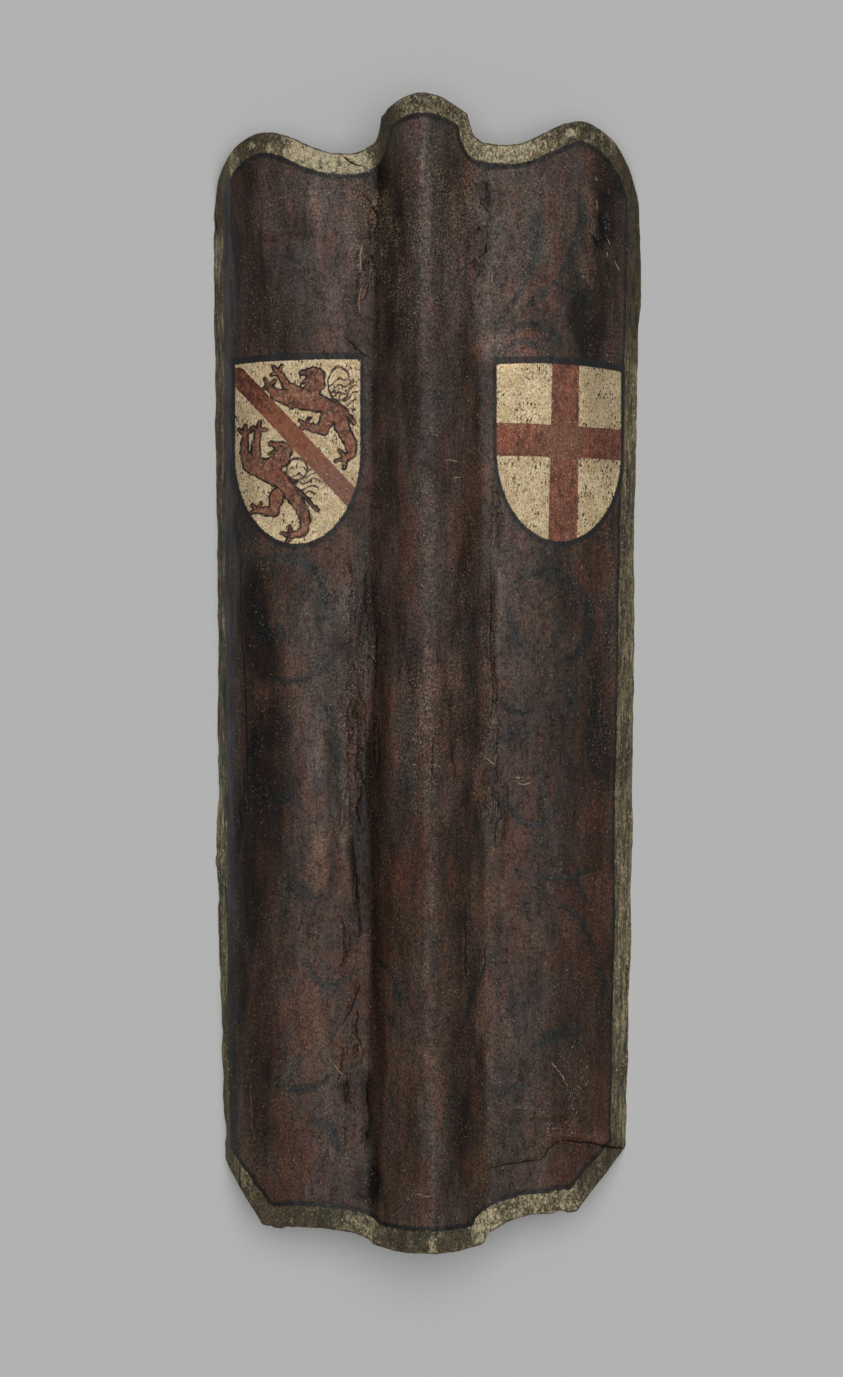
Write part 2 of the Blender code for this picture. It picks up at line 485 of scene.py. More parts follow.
# Folds of the cover: height above 0 raised, below 0 sunk
FOLDS = raised_lines(
    (0.9, 2.4, 2.4, -6, 634, -6, 513), (0.7, 3.0, 3.0, 1, 100, 1, -60, 0, -229),
    (0.8, 4.0, 4.0, -2, -270, -3, -473), (1.0, 2.6, 2.6, 6, -500, 7, -642),
    (-2.0, 3.0, 3.4, -64, 138, -70, 60, -80, 7, -76, -40, -70, -88, -70, -141, -71, -185),
    (1.6, 3.6, 3.6, -76, 124, -77, 95, -76, 67), (1.6, 3.2, 3.2, -79, 23, -78, -8, -80, -38),
    (1.4, 2.4, 2.4, -53, 48, -55, 10, -54, -19), (-1.8, 2.4, 2.4, -58, 50, -60, 10, -59, -24),
    (-1.6, 3.0, 3.0, -64, 128, -61, 74, -57, 20, -50, -30, -44, -74),
    (2.2, 6.0, 7.0, -88, 128, -93, 60, -99, 10, -97, -40, -98, -100),
    (1.8, 9.0, 10.0, -118, 20, -122, -60, -116, -150, -119, -260),
    (-2.0, 4.5, 4.5, -106, -40, -104, -110, -107, -190, -103, -270),
    (1.6, 5.0, 5.0, -70, 60, -72, -10, -64, -90, -60, -170),
    (-1.0, 12.0, 12.0, -128, 280, -126, 180, -131, 100), (-1.0, 2.6, 2.6, -101, 60, -107, 13),
    (2.8, 7.5, 6.5, -92, -96, -91, -141, -92, -197, -86, -242),
    (-2.5, 3.4, 3.0, -84, -175, -77, -242, -72, -293),
    (-1.4, 2.6, 2.6, -124, -202, -121, -217, -118, -232),
    (-2.2, 2.8, 2.6, 71, 144, 72, 74, 71, 27, 74, -20, 71, -57),
    (1.6, 3.4, 3.4, 80, 130, 80, 74, 79, 27, 81, -18), (-2.2, 3.0, 2.8, 78, -130, 85, -158, 78, -197),
    (-1.2, 3.0, 3.0, 40, 127, 33, 73, 31, 15), (1.8, 3.0, 3.0, 66, 566, 72, 551, 77, 538),
    (-2.8, 4.5, 4.0, 62, 553, 65, 538, 67, 522), (-1.8, 4.0, 4.0, 78, 546, 81, 530, 84, 512),
    (1.6, 3.0, 3.0, 54, 516, 62, 517, 72, 515), (-1.6, 4.0, 5.0, 56, 505, 58, 480, 56, 440),
    (1.0, 6.0, 6.0, 88, 456, 112, 472, 140, 470, 158, 448),
    (-1.1, 4.5, 4.5, 92, 436, 120, 452, 146, 440),
    (1.1, 5.0, 5.0, 94, 404, 124, 421, 150, 414, 166, 392),
    (1.6, 3.0, 3.0, 184, 560, 186, 530, 184, 505, 190, 480),
    (-3.0, 4.0, 4.0, 196, 524, 201, 506, 198, 490), (-2.2, 2.6, 2.6, 186, 490, 196, 484, 203, 488),
    (1.4, 2.0, 2.0, 203, 494, 204, 480, 200, 466), (-1.7, 3.0, 3.0, -56, 531, -59, 487, -56, 430),
    (-1.7, 3.0, 3.0, -65, -253, -64, -298, -63, -349),
    (-2.6, 3.0, 2.6, -65, -442, -68, -471, -66, -500, -70, -534),
    (-3.8, 4.0, 3.4, -92, -457, -86, -482), (-1.9, 2.8, 2.8, -211, -154, -216, -210),
    (2.3, 5.0, 5.0, 230, -534, 203, -528, 178, -520, 148, -515, 134, -524),
    (1.0, 3.4, 3.4, 74, -492, 104, -487, 140, -494, 166, -490),
    (-0.9, 3.0, 3.0, 78, -506, 110, -502, 136, -508), (0.9, 3.0, 3.0, -118, 420, -100, 428, -80, 426),
    (0.9, 3.2, 3.2, -130, 520, -104, 512, -84, 520), (-0.8, 2.8, 2.8, -120, 456, -98, 462, -78, 458),
    (1.9, 3.4, 3.0, -108, 571, -84, 578, -70, 573), (1.3, 3.0, 3.0, -96, 350, -85, 372),
    (-1.3, 2.6, 2.6, -226, 494, -186, 489, -142, 490, -92, 486, -60, 491),
)

CRACKS = raised_lines(
    (-0.6, 0.4, 0.8, -78, 487, -68, 488, -58, 491), (-1.0, 1.0, 1.0, -94, 579, -84, 572, -68, 567),
    (-1.0, 1.2, 0.9, -62, 526, -55, 511, -59, 496),
    (-0.4, 0.5, 0.5, 71, 144, 72, 74, 71, 27, 74, -20, 71, -57),
    (-1.2, 0.8, 2.2, -211, 150, -210, 62, -206, -10, -203, -110, -203, -175),
    (-1.2, 2.6, 2.0, -214, -150, -210, -192), (-0.6, 1.1, 0.8, 78, -141, 84, -158, 78, -168, 76, -197),
    (-1.0, 1.2, 0.8, -75, -349, -81, -365, -86, -379, -95, -392),
    (-0.8, 1.0, 1.2, -65, -442, -68, -471, -66, -500, -70, -534),
    (-0.3, 0.7, 0.6, -84, -175, -77, -242, -72, -293),
    (-1.6, 1.5, 1.0, 229, -541, 203, -535, 185, -529, 151, -523),
    (-0.8, 0.9, 0.5, 151, -523, 138, -531, 130, -542, 119, -545, 77, -551, 69, -558),
    (-1.0, 1.0, 1.3, -88, 374, -77, 363, -66, 355), (-0.6, 0.9, 0.6, -56, 453, -58, 428),
    (-0.9, 1.6, 1.2, 195, 514, 201, 506, 206, 500), (-0.9, 1.2, 1.0, 185, 494, 192, 487, 201, 491),
    (-0.9, 1.3, 0.8, 63, 524, 67, 519, 71, 515), (-0.6, 0.5, 1.0, 68, 497, 67, 484, 65, 470),
    (-0.4, 1.1, 0.8, -90, -450, -86, -482),
)

# Scratches that show the pale ground, without relief
SCRATCHES = flat_lines(
    (0.6, 0.5, 20, 237, 41, 236), (0.6, 0.5, 28, 217, 39, 220),
    (0.7, 0.5, -30, -92, -23, -99, -13, -100, -6, -93), (0.5, 0.4, 87, -115, 115, -117),
    (0.5, 0.4, 93, -122, 118, -124), (0.7, 0.5, 209, 477, 218, 456),
    (0.6, 0.4, 204, 492, 206, 482, 201, 470), (0.7, 0.5, 190, 562, 191, 556),
    (0.5, 0.4, 191, 534, 192, 520), (0.5, 0.4, 205, 548, 207, 543), (0.5, 0.4, -72, 492, -64, 490),
    (0.4, 0.4, 140, -436, 150, -448, 158, -462), (0.5, 0.4, 158, -462, 164, -472, 163, -480),
    (0.3, 0.3, 166, -462, 176, -466, 184, -457), (0.5, 0.4, -17, -575, 3, -579),
    (0.6, 0.5, 57, -87, 76, -102), (0.6, 0.4, -109, -432, -94, -449),
    (0.7, 0.5, -72, 482, -75, 466, -73, 448), (0.5, 0.5, -74, 436, -76, 420, -75, 402),
)

# Strokes of the faded scrollwork
SCROLLS = flat_lines(
    (5, 2.5, 128, 538, 124, 503, 119, 466, 104, 441),
    (6.5, 4, 170, 542, 175, 516, 166, 482, 151, 448, 132, 428),
    (5, 3, 126, 500, 118, 460, 104, 428, 90, 410), (4, 2, 197, 521, 193, 489, 184, 464),
    (3, 7, 84, 374, 106, 390, 126, 391, 144, 378, 150, 366),
    (3, 5, 81, 356, 98, 371, 118, 369, 132, 358), (7, 3, 138, 431, 122, 421, 106, 403),
    (4, 2, 96, 412, 80, 396, 76, 380), (6, 8, 150, 434, 170, 424, 184, 412), (3, 5, 176, 440, 184, 426),
    (5, 7, 95, 101, 113, 112, 147, 111, 175, 88, 183, 54, 170, 25, 145, 11),
    (5, 3, 88, 79, 97, 47, 115, 18), (3, 5, 127, 63, 140, 69, 149, 51, 140, 31, 132, 16),
    (3, 5, 75, -23, 87, -38, 109, -44, 127, -33),
    (6, 3.5, 195, -27, 185, -54, 184, -86, 193, -115, 206, -120), (4, 3, 66, -92, 79, -76, 104, -57),
    (4, 4, 91, -108, 88, -136, 100, -159, 122, -170, 142, -157, 150, -130, 147, -113),
    (3, 4, 97, -218, 131, -245, 172, -277, 196, -332, 201, -359, 191, -381),
    (2.5, 2.5, 97, -218, 138, -229, 169, -226, 200, -213), (4.5, 1.5, 170, -237, 182, -263),
    (4, 3, 107, -242, 118, -286), (9, 6, 122, -416, 149, -402, 178, -401),
    (5, 3, 64, -477, 87, -466, 118, -457), (4.5, 3, 93, -337, 96, -376, 104, -421),
    (4, 2, 140, -270, 146, -315), (3, 3, 55, -348, 71, -318, 88, -307),
    (6, 5, -204, 126, -154, 130, -124, 114, -116, 83, -120, 38),
    (5, 4, -157, 69, -149, 92, -133, 94, -122, 78, -120, 49, -113, 21),
    (13, 8, -197, 83, -186, 55, -176, 27), (7, 7, -169, 58, -162, 36),
    (5, 6.5, -116, -29, -103, -57, -99, -108), (4, 5, -115, 21, -129, -2, -154, -9, -174, -2),
    (8, 5, -186, -142, -154, -138, -137, -155), (4, 5, -133, -320, -124, -343, -104, -349, -86, -338),
    (5, 5, -186, -443, -159, -462, -131, -464, -104, -446),
    (5, 6, -136, -506, -118, -502, -104, -517, -95, -544), (8, 7, -160, -231, -142, -242, -124, -253),
    (3, 4.5, -57, -318, -39, -335, -28, -373), (3, 3, -55, -376, -39, -386, -30, -407),
    (3, 3, 59, -331, 46, -369, 34, -407),
)

ROUGH_SPOTS = patches(
    (203, 510, 30, 62, 1.0), (71, -99, 16, 20, 0.8), (-77, -453, 22, 30, 0.8), (-60, 512, 14, 24, 0.9),
    (-8, -577, 42, 24, 0.5), (-90, 470, 30, 34, 0.4), (78, 540, 22, 40, 0.5), (76, -160, 14, 40, 0.6),
)

# Broad light and dark areas: below 0 darker, above 0 lighter. Partly the old paint's own tone, partly
# painted shade towards the long edges and on the keel's left flank, and painted highlight along the
# keel's ridge and on the left panel
TONE_AND_SHADE_PATCHES = patches(
    (-192, 62, 28, 100, -0.8), (-180, -100, 36, 130, -0.42), (-160, -180, 18, 200, -0.3),
    (-190, -190, 38, 150, -0.6), (-190, -400, 34, 210, -0.55), (-100, -16, 30, 90, -0.5),
    (-112, -215, 32, 100, 0.65), (-84, -370, 24, 80, -0.3), (92, -345, 34, 60, -0.3),
    (140, -470, 40, 80, -0.3), (-64, -575, 30, 40, -0.5), (187, -195, 22, 50, -0.35),
    (52, -240, 16, 110, 0.35), (80, 500, 20, 140, 0.3), (-1, 280, 12, 60, 0.3),
    (-55, 560, 16, 40, -0.4), (-208, -160, 22, 300, -0.3), (-60, 380, 12, 150, -0.5),
    (-58, -90, 14, 60, -0.35), (-57, -430, 16, 200, -0.5), (-28, 350, 18, 40, 0.4),
    (-28, -130, 20, 200, 0.6), (26, 440, 20, 120, 0.55), (28, -130, 20, 130, 0.5),
    (36, -500, 26, 60, -0.4), (74, -125, 26, 100, 0.65), (88, 362, 50, 30, 1.3), (96, 130, 44, 40, 0.3),
    (-160, 142, 60, 34, 0.4), (-118, 475, 46, 130, 0.58), (-190, 425, 22, 70, -0.45),
    (160, 425, 22, 60, -0.4), (212, 120, 14, 130, 0.35), (150, 556, 90, 40, 0.25),
    (-205, 470, 30, 90, -0.3), (-66, 20, 20, 420, -0.35), (-52, -200, 24, 300, -0.3),
    (-40, 530, 26, 110, -0.35), (52, -60, 26, 420, -0.2), (196, 60, 30, 620, -0.22),
    (190, 400, 34, 120, -0.35), (192, -80, 26, 110, -0.3), (150, -60, 40, 560, -0.14),
    (-112, -130, 40, 120, 0.24), (-105, 440, 60, 90, 0.22), (84, -60, 24, 420, 0.16),
    (0, 330, 14, 330, 0.15), (-3, 490, 8, 170, 0.4), (4, -420, 8, 230, 0.35), (-6, -80, 20, 130, 0.25),
    (70, -340, 12, 260, 0.3), (40, -380, 22, 220, -0.35), (-150, 450, 90, 140, 0.18),
    (-32, 420, 22, 160, -0.35), (130, 470, 90, 110, 0.12), (204, 500, 30, 110, -0.35),
    (140, 385, 60, 60, -0.22), (178, 400, 34, 70, -0.3), (140, 20, 70, 160, -0.16),
    (206, 290, 50, 90, -0.3), (105, 300, 44, 70, 0.3), (-210, 240, 26, 120, -0.35),
    (200, 556, 24, 44, -0.5), (203, 500, 14, 24, -0.4), (-174, 18, 26, 42, -0.66),
    (-162, -40, 20, 60, -0.32), (-94, 40, 24, 30, -0.34), (-180, -60, 26, 36, -0.35),
    (-212, -350, 14, 70, -0.4), (-92, 340, 50, 40, 0.24), (-55, 348, 20, 26, 0.2),
    (26, 335, 16, 40, 0.22), (-44, 245, 22, 28, -0.3), (-55, 142, 14, 28, -0.24),
    (-45, 556, 24, 26, -0.18), (-217, 470, 14, 70, -0.28), (26, -219, 16, 30, 0.26),
    (80, -95, 18, 40, 0.24), (-70, -570, 26, 36, -0.26),
)

# Above 0 redder and browner paint, below 0 greyer: mostly the paint's own hue, and on the left panel a
# painted grey sheen
WARMTH = patches(
    (-140, 460, 110, 170, -0.8), (-180, 487, 46, 12, 1.4), (0, 400, 56, 330, -1.5),
    (110, 520, 90, 110, -0.9), (160, 450, 46, 70, 1.3), (150, 400, 60, 30, -0.4),
    (120, 415, 50, 60, 0.7), (140, 30, 80, 200, 1.0), (-186, -130, 38, 290, 3.2),
    (-115, -180, 40, 200, -0.5), (-138, -50, 20, 80, -0.4), (208, -300, 26, 330, 1.6),
    (206, 60, 26, 120, -0.7), (165, -140, 50, 130, 1.0), (180, -430, 60, 220, 1.2),
    (-205, -400, 30, 180, 1.2), (-55, -260, 26, 330, 0.9), (-26, -60, 20, 200, -0.8),
    (0, -300, 16, 120, -0.9), (38, -360, 30, 240, -0.6), (130, 20, 70, 110, -0.8),
    (150, -210, 90, 160, 0.7), (128, -400, 46, 70, -0.6), (150, -540, 90, 60, 0.9),
    (-150, -470, 80, 130, 0.5), (0, -300, 240, 330, 0.5), (-184, -190, 24, 110, 1.7),
    (-134, -100, 22, 80, -0.9), (-189, -450, 16, 90, 0.7), (140, -480, 90, 130, 0.6),
    (-95, -480, 34, 110, 0.6), (-84, 39, 24, 30, 0.6), (-55, 250, 40, 120, -0.5),
    (-64, 350, 20, 40, -0.5),
)

# Where the paint is rubbed through to pale specks
RUBBED = patches(
    (60, 480, 190, 190, 0.5), (-100, 540, 80, 60, 0.4), (-28, 470, 30, 120, 0.7), (2, 0, 18, 760, 0.6),
    (30, 540, 40, 120, 0.7), (-60, 500, 40, 90, 0.7), (36, 60, 26, 260, 0.5), (-10, -60, 36, 160, 0.6),
    (-80, -20, 36, 190, 0.5), (204, 120, 16, 420, 0.6), (66, -30, 22, 160, 0.6),
    (150, -470, 70, 70, 0.5), (-76, 440, 8, 60, 0.4),
)

# Grime of the border: above 0 darker and browner, below 0 cleaner
SOILED = patches(
    (-190, 600, 46, 40, 0.9), (-240, 550, 26, 60, 1.1), (-197, 595, 7, 5, -1.3),
    (-177, 592, 4, 7, -1.3), (-140, 588, 60, 34, -0.6), (-100, 580, 60, 40, -0.7),
    (-48, 600, 26, 60, 1.0), (16, 640, 44, 30, 0.2), (85, 585, 50, 40, -0.35), (160, 608, 8, 6, -1.6),
    (176, 610, 44, 40, 0.5), (230, 470, 34, 150, 1.0), (214, 570, 34, 36, 0.9),
    (232, -160, 24, 480, -0.15), (-240, -260, 20, 300, -0.3), (-232, 0, 30, 700, 0.25),
    (-150, -600, 110, 50, 0.7), (0, -630, 80, 40, 0.65), (6, -634, 8, 20, -0.9),
    (66, -622, 22, 24, -1.0), (112, -605, 54, 34, 0.0), (200, -560, 50, 60, 0.6),
)


COVER_RIPPLES = (
    Ripple(0.085, 0.190, 0.0013, 3),
    Ripple(0.026, 0.085, 0.0010, 5),
    Ripple(0.012, 0.040, 0.00050, 7),
    Ripple(0.0065, 0.0130, 0.00026, 9),
)

ROUGH_RIPPLES = (
    Ripple(0.010, 0.013, 0.0010, 11),
    Ripple(0.0055, 0.0062, 0.0006, 13),
)

OUTLINE_WANDER = (
    Ripple(0.062, 1.0, 0.0011, 17),
    Ripple(0.017, 1.0, 0.0006, 19),
    Ripple(0.006, 1.0, 0.00035, 23),
)

# Chips and bumps of the outline, outward above 0: left, right, top and bottom edge
OUTLINE_CHIPS = (
    patches(
        (-245, 508, 30, 10, -2.5), (-238, -260, 30, 150, 2.6),
        (-238, -213, 30, 9, 1.6), (-233, -520, 30, 16, -1.5),
    ),
    patches((246, 440, 30, 52, 2.2), (246, 512, 30, 14, -1.5), (230, -480, 30, 14, -1.2)),
    patches((-52, 628, 9, 30, -3.0), (176, 612, 16, 30, 1.5), (60, 605, 7, 30, -2.0)),
    patches((68, -633, 5, 30, -4.0), (-168, -615, 10, 30, 2.0), (150, -600, 9, 30, -2.5)),
)


@dataclass(frozen=True)
class CreaseField:
    """Upright wrinkles of the cover in one area, in millimetres in plan."""

    center_mm: Place
    reach_mm: Place
    count: int
    length_mm: Place
    width_mm: float
    lean: float = 0.10
    wave: float = 0.028
    spread: Place = (0.7, 1.3)
    stops: tuple[float, ...] = (0.0, 0.25, 0.5, 0.75, 1.0)

    def lines(self, chance: np.random.Generator) -> list[Line]:
        """Wavy lines spread over the area.

        Args:
            chance: Where the random numbers come from.

        Returns:
            The lines, each from its upper end down.
        """
        lines = []
        for _ in range(self.count):
            spans = zip(self.center_mm, self.reach_mm)
            x, y = (center + reach * chance.uniform(-1.0, 1.0) for center, reach in spans)
            length = chance.uniform(*self.length_mm)
            lean = chance.normal(0.0, self.lean)
            knots = []
            for share in self.stops:
                wave = chance.normal(0.0, self.wave * length)
                knots.append((x + lean * length * share + wave, y - length * share))
            width = self.width_mm * chance.uniform(*self.spread)
            lines.append(Line(tuple(knots), (width, width)))
        return lines


# Where short upright wrinkles gather
CREASE_FIELDS = (
    CreaseField((-86, 60), (22, 110), 5, (50, 120), 2.8),
    CreaseField((-60, -40), (10, 160), 4, (40, 90), 2.4),
    CreaseField((-92, -180), (22, 110), 4, (50, 110), 2.8),
    CreaseField((-80, -430), (16, 110), 4, (15, 60), 2.0),
    CreaseField((-62, 500), (12, 70), 7, (12, 40), 1.5, 0.4),
    CreaseField((74, 60), (8, 170), 4, (40, 90), 2.2),
    CreaseField((76, -200), (12, 120), 4, (30, 70), 2.2),
    CreaseField((70, 500), (12, 90), 6, (12, 40), 1.8, 0.5),
    CreaseField((196, 490), (16, 60), 8, (12, 45), 1.6, 0.4),
    CreaseField((190, 0), (10, 200), 5, (20, 60), 1.6),
    CreaseField((30, -60), (26, 220), 3, (40, 80), 2.4),
    CreaseField((-204, -200), (8, 300), 6, (25, 80), 1.6),
)


def crease_lines(seed: int = 5) -> list[Line]:
    """Lines of every wrinkle of the cover, the same on each run."""
    chance = np.random.default_rng(seed)
    return [line for area in CREASE_FIELDS for line in area.lines(chance)]


@dataclass(frozen=True)
class EdgeBand:
    """Painted border and dark contour along one edge, as measured over the face, in metres.

    The widths are spread evenly along the edge, from its left or lower end.
    """

    border: tuple[float, ...]
    contour: tuple[float, ...]

    def inside(self, gap: Array, share: Array) -> Array:
        """Distance from the border's inner line, for a gap to the edge and a share along it."""
        return gap - self.width(self.border, share)

    def width(self, widths: tuple[float, ...], share: Array) -> Array:
        """Width at a share along the edge."""
        return np.interp(share, np.linspace(0.0, 1.0, len(widths)), widths)


# Axis that each edge faces and the way it faces: left, right, top and bottom edge
EDGE_SENSES = ((0, -1), (0, 1), (1, 1), (1, -1))


@dataclass
class Patchwork:
    """Faces in blocks, each with its own map corners and finish."""

    faces: list = field(default_factory=list)
    corners: list = field(default_factory=list)
    finishes: list = field(default_factory=list)

    def add(self, faces: Array, corners: Array, finish: Array | int) -> None:
        """Adds a block of faces that all have as many corners.

        Args:
            faces: Vertex numbers by face and corner.
            corners: Map places by face, corner and axis.
            finish: The slot of each face, or of all of them.
        """
        self.faces.extend(faces.tolist())
        self.corners.append(corners.reshape(-1))
        self.finishes.append(np.broadcast_to(finish, len(faces)))


@dataclass
class PaintedShield:
    """The shield's board with its glued and painted cover, as one closed mesh.

    The painted face is a fine grid with its relief. The back is a coarser grid, and worn rings
    round the rim join them. Both long edges stand flat on the floor.
    """

    form: BoardForm
    arms: dict[Finish, "ArmsShape"]
    name: str = "painted_pavise"
    node: str = "pavise_board"
    columns: int = 98
    rows: int = 448
    coarse: int = 4
    end_part: int = 8
    edge_reach: float = 0.060
    bands: tuple[EdgeBand, ...] = (
        EdgeBand(
            (0.0200, 0.0215, 0.0225, 0.0215, 0.0230),
            (0.0170, 0.0170, 0.0180, 0.0270, 0.0270, 0.0200),
        ),
        EdgeBand((0.0345, 0.0350, 0.0385, 0.0340, 0.0270, 0.0250), (0.0046,)),
        EdgeBand((0.0205, 0.0235, 0.0225, 0.0205, 0.0215, 0.0220), (0.0062,)),
        EdgeBand((0.0225, 0.0235, 0.0250, 0.0225, 0.0260), (0.0056,)),
    )
    wander_reach: float = 0.022
    wander_shift: float = 1.7
    valley_reach: float = 0.014
    valley_passes: int = 8
    fold_reach: float = 0.045
    crack_reach: float = 0.010
    crack_side: float = 0.004
    mark_reach: float = 0.012
    mark_fade: Place = (0.004, 0.010)
    scroll_reach: float = 0.035
    scroll_far: float = 0.03
    left_strip: Place = (0.030, 0.060)
    left_foot: Place = (-0.340, -0.240)
    long_edge_fade: Place = (0.036, 0.050)
    ring_depths: tuple[float, ...] = (0.16, 0.72)
    ring_seed: int = 41
    rim_round: float = 0.0011
    rim_fade: float = 0.004
    rim_wear: float = 0.0005
    foot_fade: float = 0.012
    sharp_angle: float = 50.0
    map_ends: Place = (0.004, 0.996)
    face_strip: Place = (0.004, 0.756)
    back_strip: Place = (0.804, 0.996)
    rim_strip: Place = (0.760, 0.018)
    rim_pitch: float = 0.022

    def base_points(self) -> Array:
        """The face with its uneven outline, before any relief.

        Returns:
            Points by row and column.
        """
        points = self.form.face(self.columns, self.rows)
        self.soften_valleys(points)
        x, y = points[..., 0].copy(), points[..., 1].copy()
        for number, gap in enumerate(self.edge_gaps(points)):
            axis, sign = EDGE_SENSES[number]
            near = 1.0 - ease(gap, 0.0, self.wander_reach)
            spot = (y, x)[axis]
            wander = total(OUTLINE_WANDER, spot, np.full_like(spot, self.wander_shift * number))
            points[..., axis] += sign * near * (wander + total(OUTLINE_CHIPS[number], x, y) * MM)
        return points

    def soften_valleys(self, points: Array) -> None:
        """Rounds the valleys off a little, as the thick cover does.

        Args:
            points: Points of the face, which are moved.
        """
        form = self.form
        level = clamp(points[..., 1] / form.length + 0.5)
        for half in (form.left, form.right):
            valley = form.along(level, form.ridge_shift) + half.sign * form.along(level, half.keel)
            near = 1.0 - ease(np.abs(points[..., 0] - valley), 0.0, self.valley_reach)
            for _ in range(self.valley_passes):
                height = points[..., 2]
                level_off = (height[:, :-2] + 2.0 * height[:, 1:-1] + height[:, 2:]) / 4.0
                points[:, 1:-1, 2] += near[:, 1:-1] * (level_off - height[:, 1:-1])

    def section_runs(self, points: Array) -> Array:
        """Length over the face from the ridge to each point.

        Args:
            points: Points of the face.

        Returns:
            The lengths, negative on the left.
        """
        step = np.diff(points[..., [0, 2]], axis=1)
        run = np.cumsum(np.linalg.norm(step, axis=-1), axis=1)
        run = np.concatenate([np.zeros((len(run), 1)), run], axis=1)
        return run - run[:, self.columns : self.columns + 1]

    def edge_gaps(self, points: Array) -> Array:
        """Distance over the face from every point to each edge.

        Args:
            points: Points of the face.

        Returns:
            Distances to the left, right, top and bottom edge.
        """
        run = self.section_runs(points)
        spots = np.stack([run, points[..., 1]], axis=-1)
        gaps = [run - run[:, :1], run[:, -1:] - run]
        depth = self.rows // self.end_part
        for rows, edge in ((slice(-depth, None), spots[-1]), (slice(0, depth), spots[0])):
            gap = np.full(run.shape, self.edge_reach)
            ways = path_gaps(spots[rows].reshape(-1, 2), edge)[1]
            close = np.linalg.norm(ways, axis=-1).min(axis=1)
            gap[rows] = np.minimum(close.reshape(depth, -1), self.edge_reach)
            gaps.append(gap)
        return np.stack(gaps)

    def relief(self, x: Array, y: Array, gaps: Array) -> Array:
        """Height of the cover over the plain form: sagging, folds, dents, cracks and losses.

        Args:
            x: X of the points.
            y: Y of the points.
            gaps: Distances to the four edges.

        Returns:
            The height at each point.
        """
        height = total(COVER_RIPPLES, x, y)
        height = height + total(ROUGH_SPOTS, x, y) * total(ROUGH_RIPPLES, x, y)
        for line in FOLDS:
            distance, _, share = line.measure(x, y, self.fold_reach)
            bell = np.exp(-((distance / line.width(share)) ** 2) / 2.0)
            height = height + line.height_mm * MM * taper(share, 0.18, 0.82) * bell
        for line in CRACKS:
            distance, _, share = line.measure(x, y, self.crack_reach)
            side = 1.0 - ease(distance, 0.0, self.crack_side)
            height = height + line.height_mm * MM * taper(share, 0.1, 0.9) * side
        return height * ease(np.minimum(gaps[0], gaps[1]), 0.0, self.foot_fade)

    def line_marks(self, lines: Sequence[Line], x: Array, y: Array) -> tuple[Array, Array]:
        """Values that draw the nearest of some lines.

        Args:
            lines: The lines.
            x: X of the points.
            y: Y of the points.

        Returns:
            Signed distance from the nearest line, and that line's half width there.
        """
        nearest = np.full(x.shape, 1.0)
        across, width = np.full(x.shape, self.mark_reach), np.zeros(x.shape)
        for line in lines:
            distance, side, share = line.measure(x, y, self.mark_reach)
            here = line.width(share) * taper(share, 0.12, 0.85, 0.25)
            here = here * (1.0 - ease(distance, *self.mark_fade))
            closer = distance < nearest
            nearest = np.where(closer, distance, nearest)
            across, width = np.where(closer, side, across), np.where(closer, here, width)
        return across, width

    def scroll_depth(self, x: Array, y: Array) -> Array:
        """Distance from the edge of the nearest painted scroll stroke.

        Args:
            x: X of the points.
            y: Y of the points.

        Returns:
            The distance, negative inside the stroke.
        """
        depth = np.full(x.shape, self.scroll_far)
        for line in SCROLLS:
            distance, _, share = line.measure(x, y, self.scroll_reach)
            depth = np.minimum(depth, distance - line.width(share) * taper(share, 0.25, 0.75, 0.25))
        return depth

    def face_values(self, points: Array, gaps: Array, relief: Array) -> dict[str, Array]:
        """Values of the painted face that its finishes read.

        Args:
            points: Points of the face before its relief.
            gaps: Distances to the four edges.
            relief: Height of the cover.

        Returns:
            Each value by its name.
        """
        x, y = points[..., 0], points[..., 1]
        up, right = clamp(y / self.form.length + 0.5), clamp(x / np.ptp(x) + 0.5)
        sides = list(zip(self.bands, (up, up, right, right)))
        inside = np.stack([band.inside(gap, share) for gap, (band, share) in zip(gaps, sides)])
        contours = np.stack([band.width(band.contour, share) for band, share in sides])
        long_gap = np.minimum(gaps[0], gaps[1])
        values = {
            "edge_gap": gaps.min(axis=0),
            "border_gap": inside.min(axis=0),
            "contour_share": (inside / contours).min(axis=0),
            "left_side": (1.0 - ease(gaps[0], *self.left_strip)) * ease(y, *self.left_foot),
            "long_edge": 1.0 - ease(long_gap, *self.long_edge_fade),
        }
        for name, lines in (("crease", crease_lines()), ("crack", CRACKS), ("scratch", SCRATCHES)):
            values[name + "_across"], values[name + "_width"] = self.line_marks(lines, x, y)
        values |= {"scroll_depth": self.scroll_depth(x, y), "relief": relief}
        for name, spots in (("rub", RUBBED), ("soil", SOILED), ("tone", TONE_AND_SHADE_PATCHES), ("warmth", WARMTH)):
            values[name] = total(spots, x, y)
        return values

    def back_points(self, points: Array, normals: Array) -> Array:
        """Coarse grid of the board's inner face, cut off at the floor.

        Args:
            points: Points of the face.
            normals: Their normals.

        Returns:
            Points by row and column.
        """
        step = self.coarse
        inner = points[::step, ::step] - normals[::step, ::step] * self.form.thickness
        for edge, beside in ((0, 1), (-1, -2)):
            low, high = inner[:, edge], inner[:, beside]
            share = (high[:, 2] / (high[:, 2] - low[:, 2]))[:, None]
            inner[:, edge] = high + (low - high) * share
            inner[:, edge, 2] = 0.0
        return inner

    def rim_places(self, rows: int, columns: int) -> tuple[Array, Array]:
        """Points round a grid, against the clock from its first point.

        Args:
            rows: Stretches up the grid.
            columns: Stretches across it.

        Returns:
            Their rows and their columns.
        """
        right, up = np.arange(columns), np.arange(rows)
        row = np.concatenate([0 * right, up, rows + 0 * right, rows - up])
        column = np.concatenate([right, columns + 0 * up, columns - right, 0 * up])
        return row, column

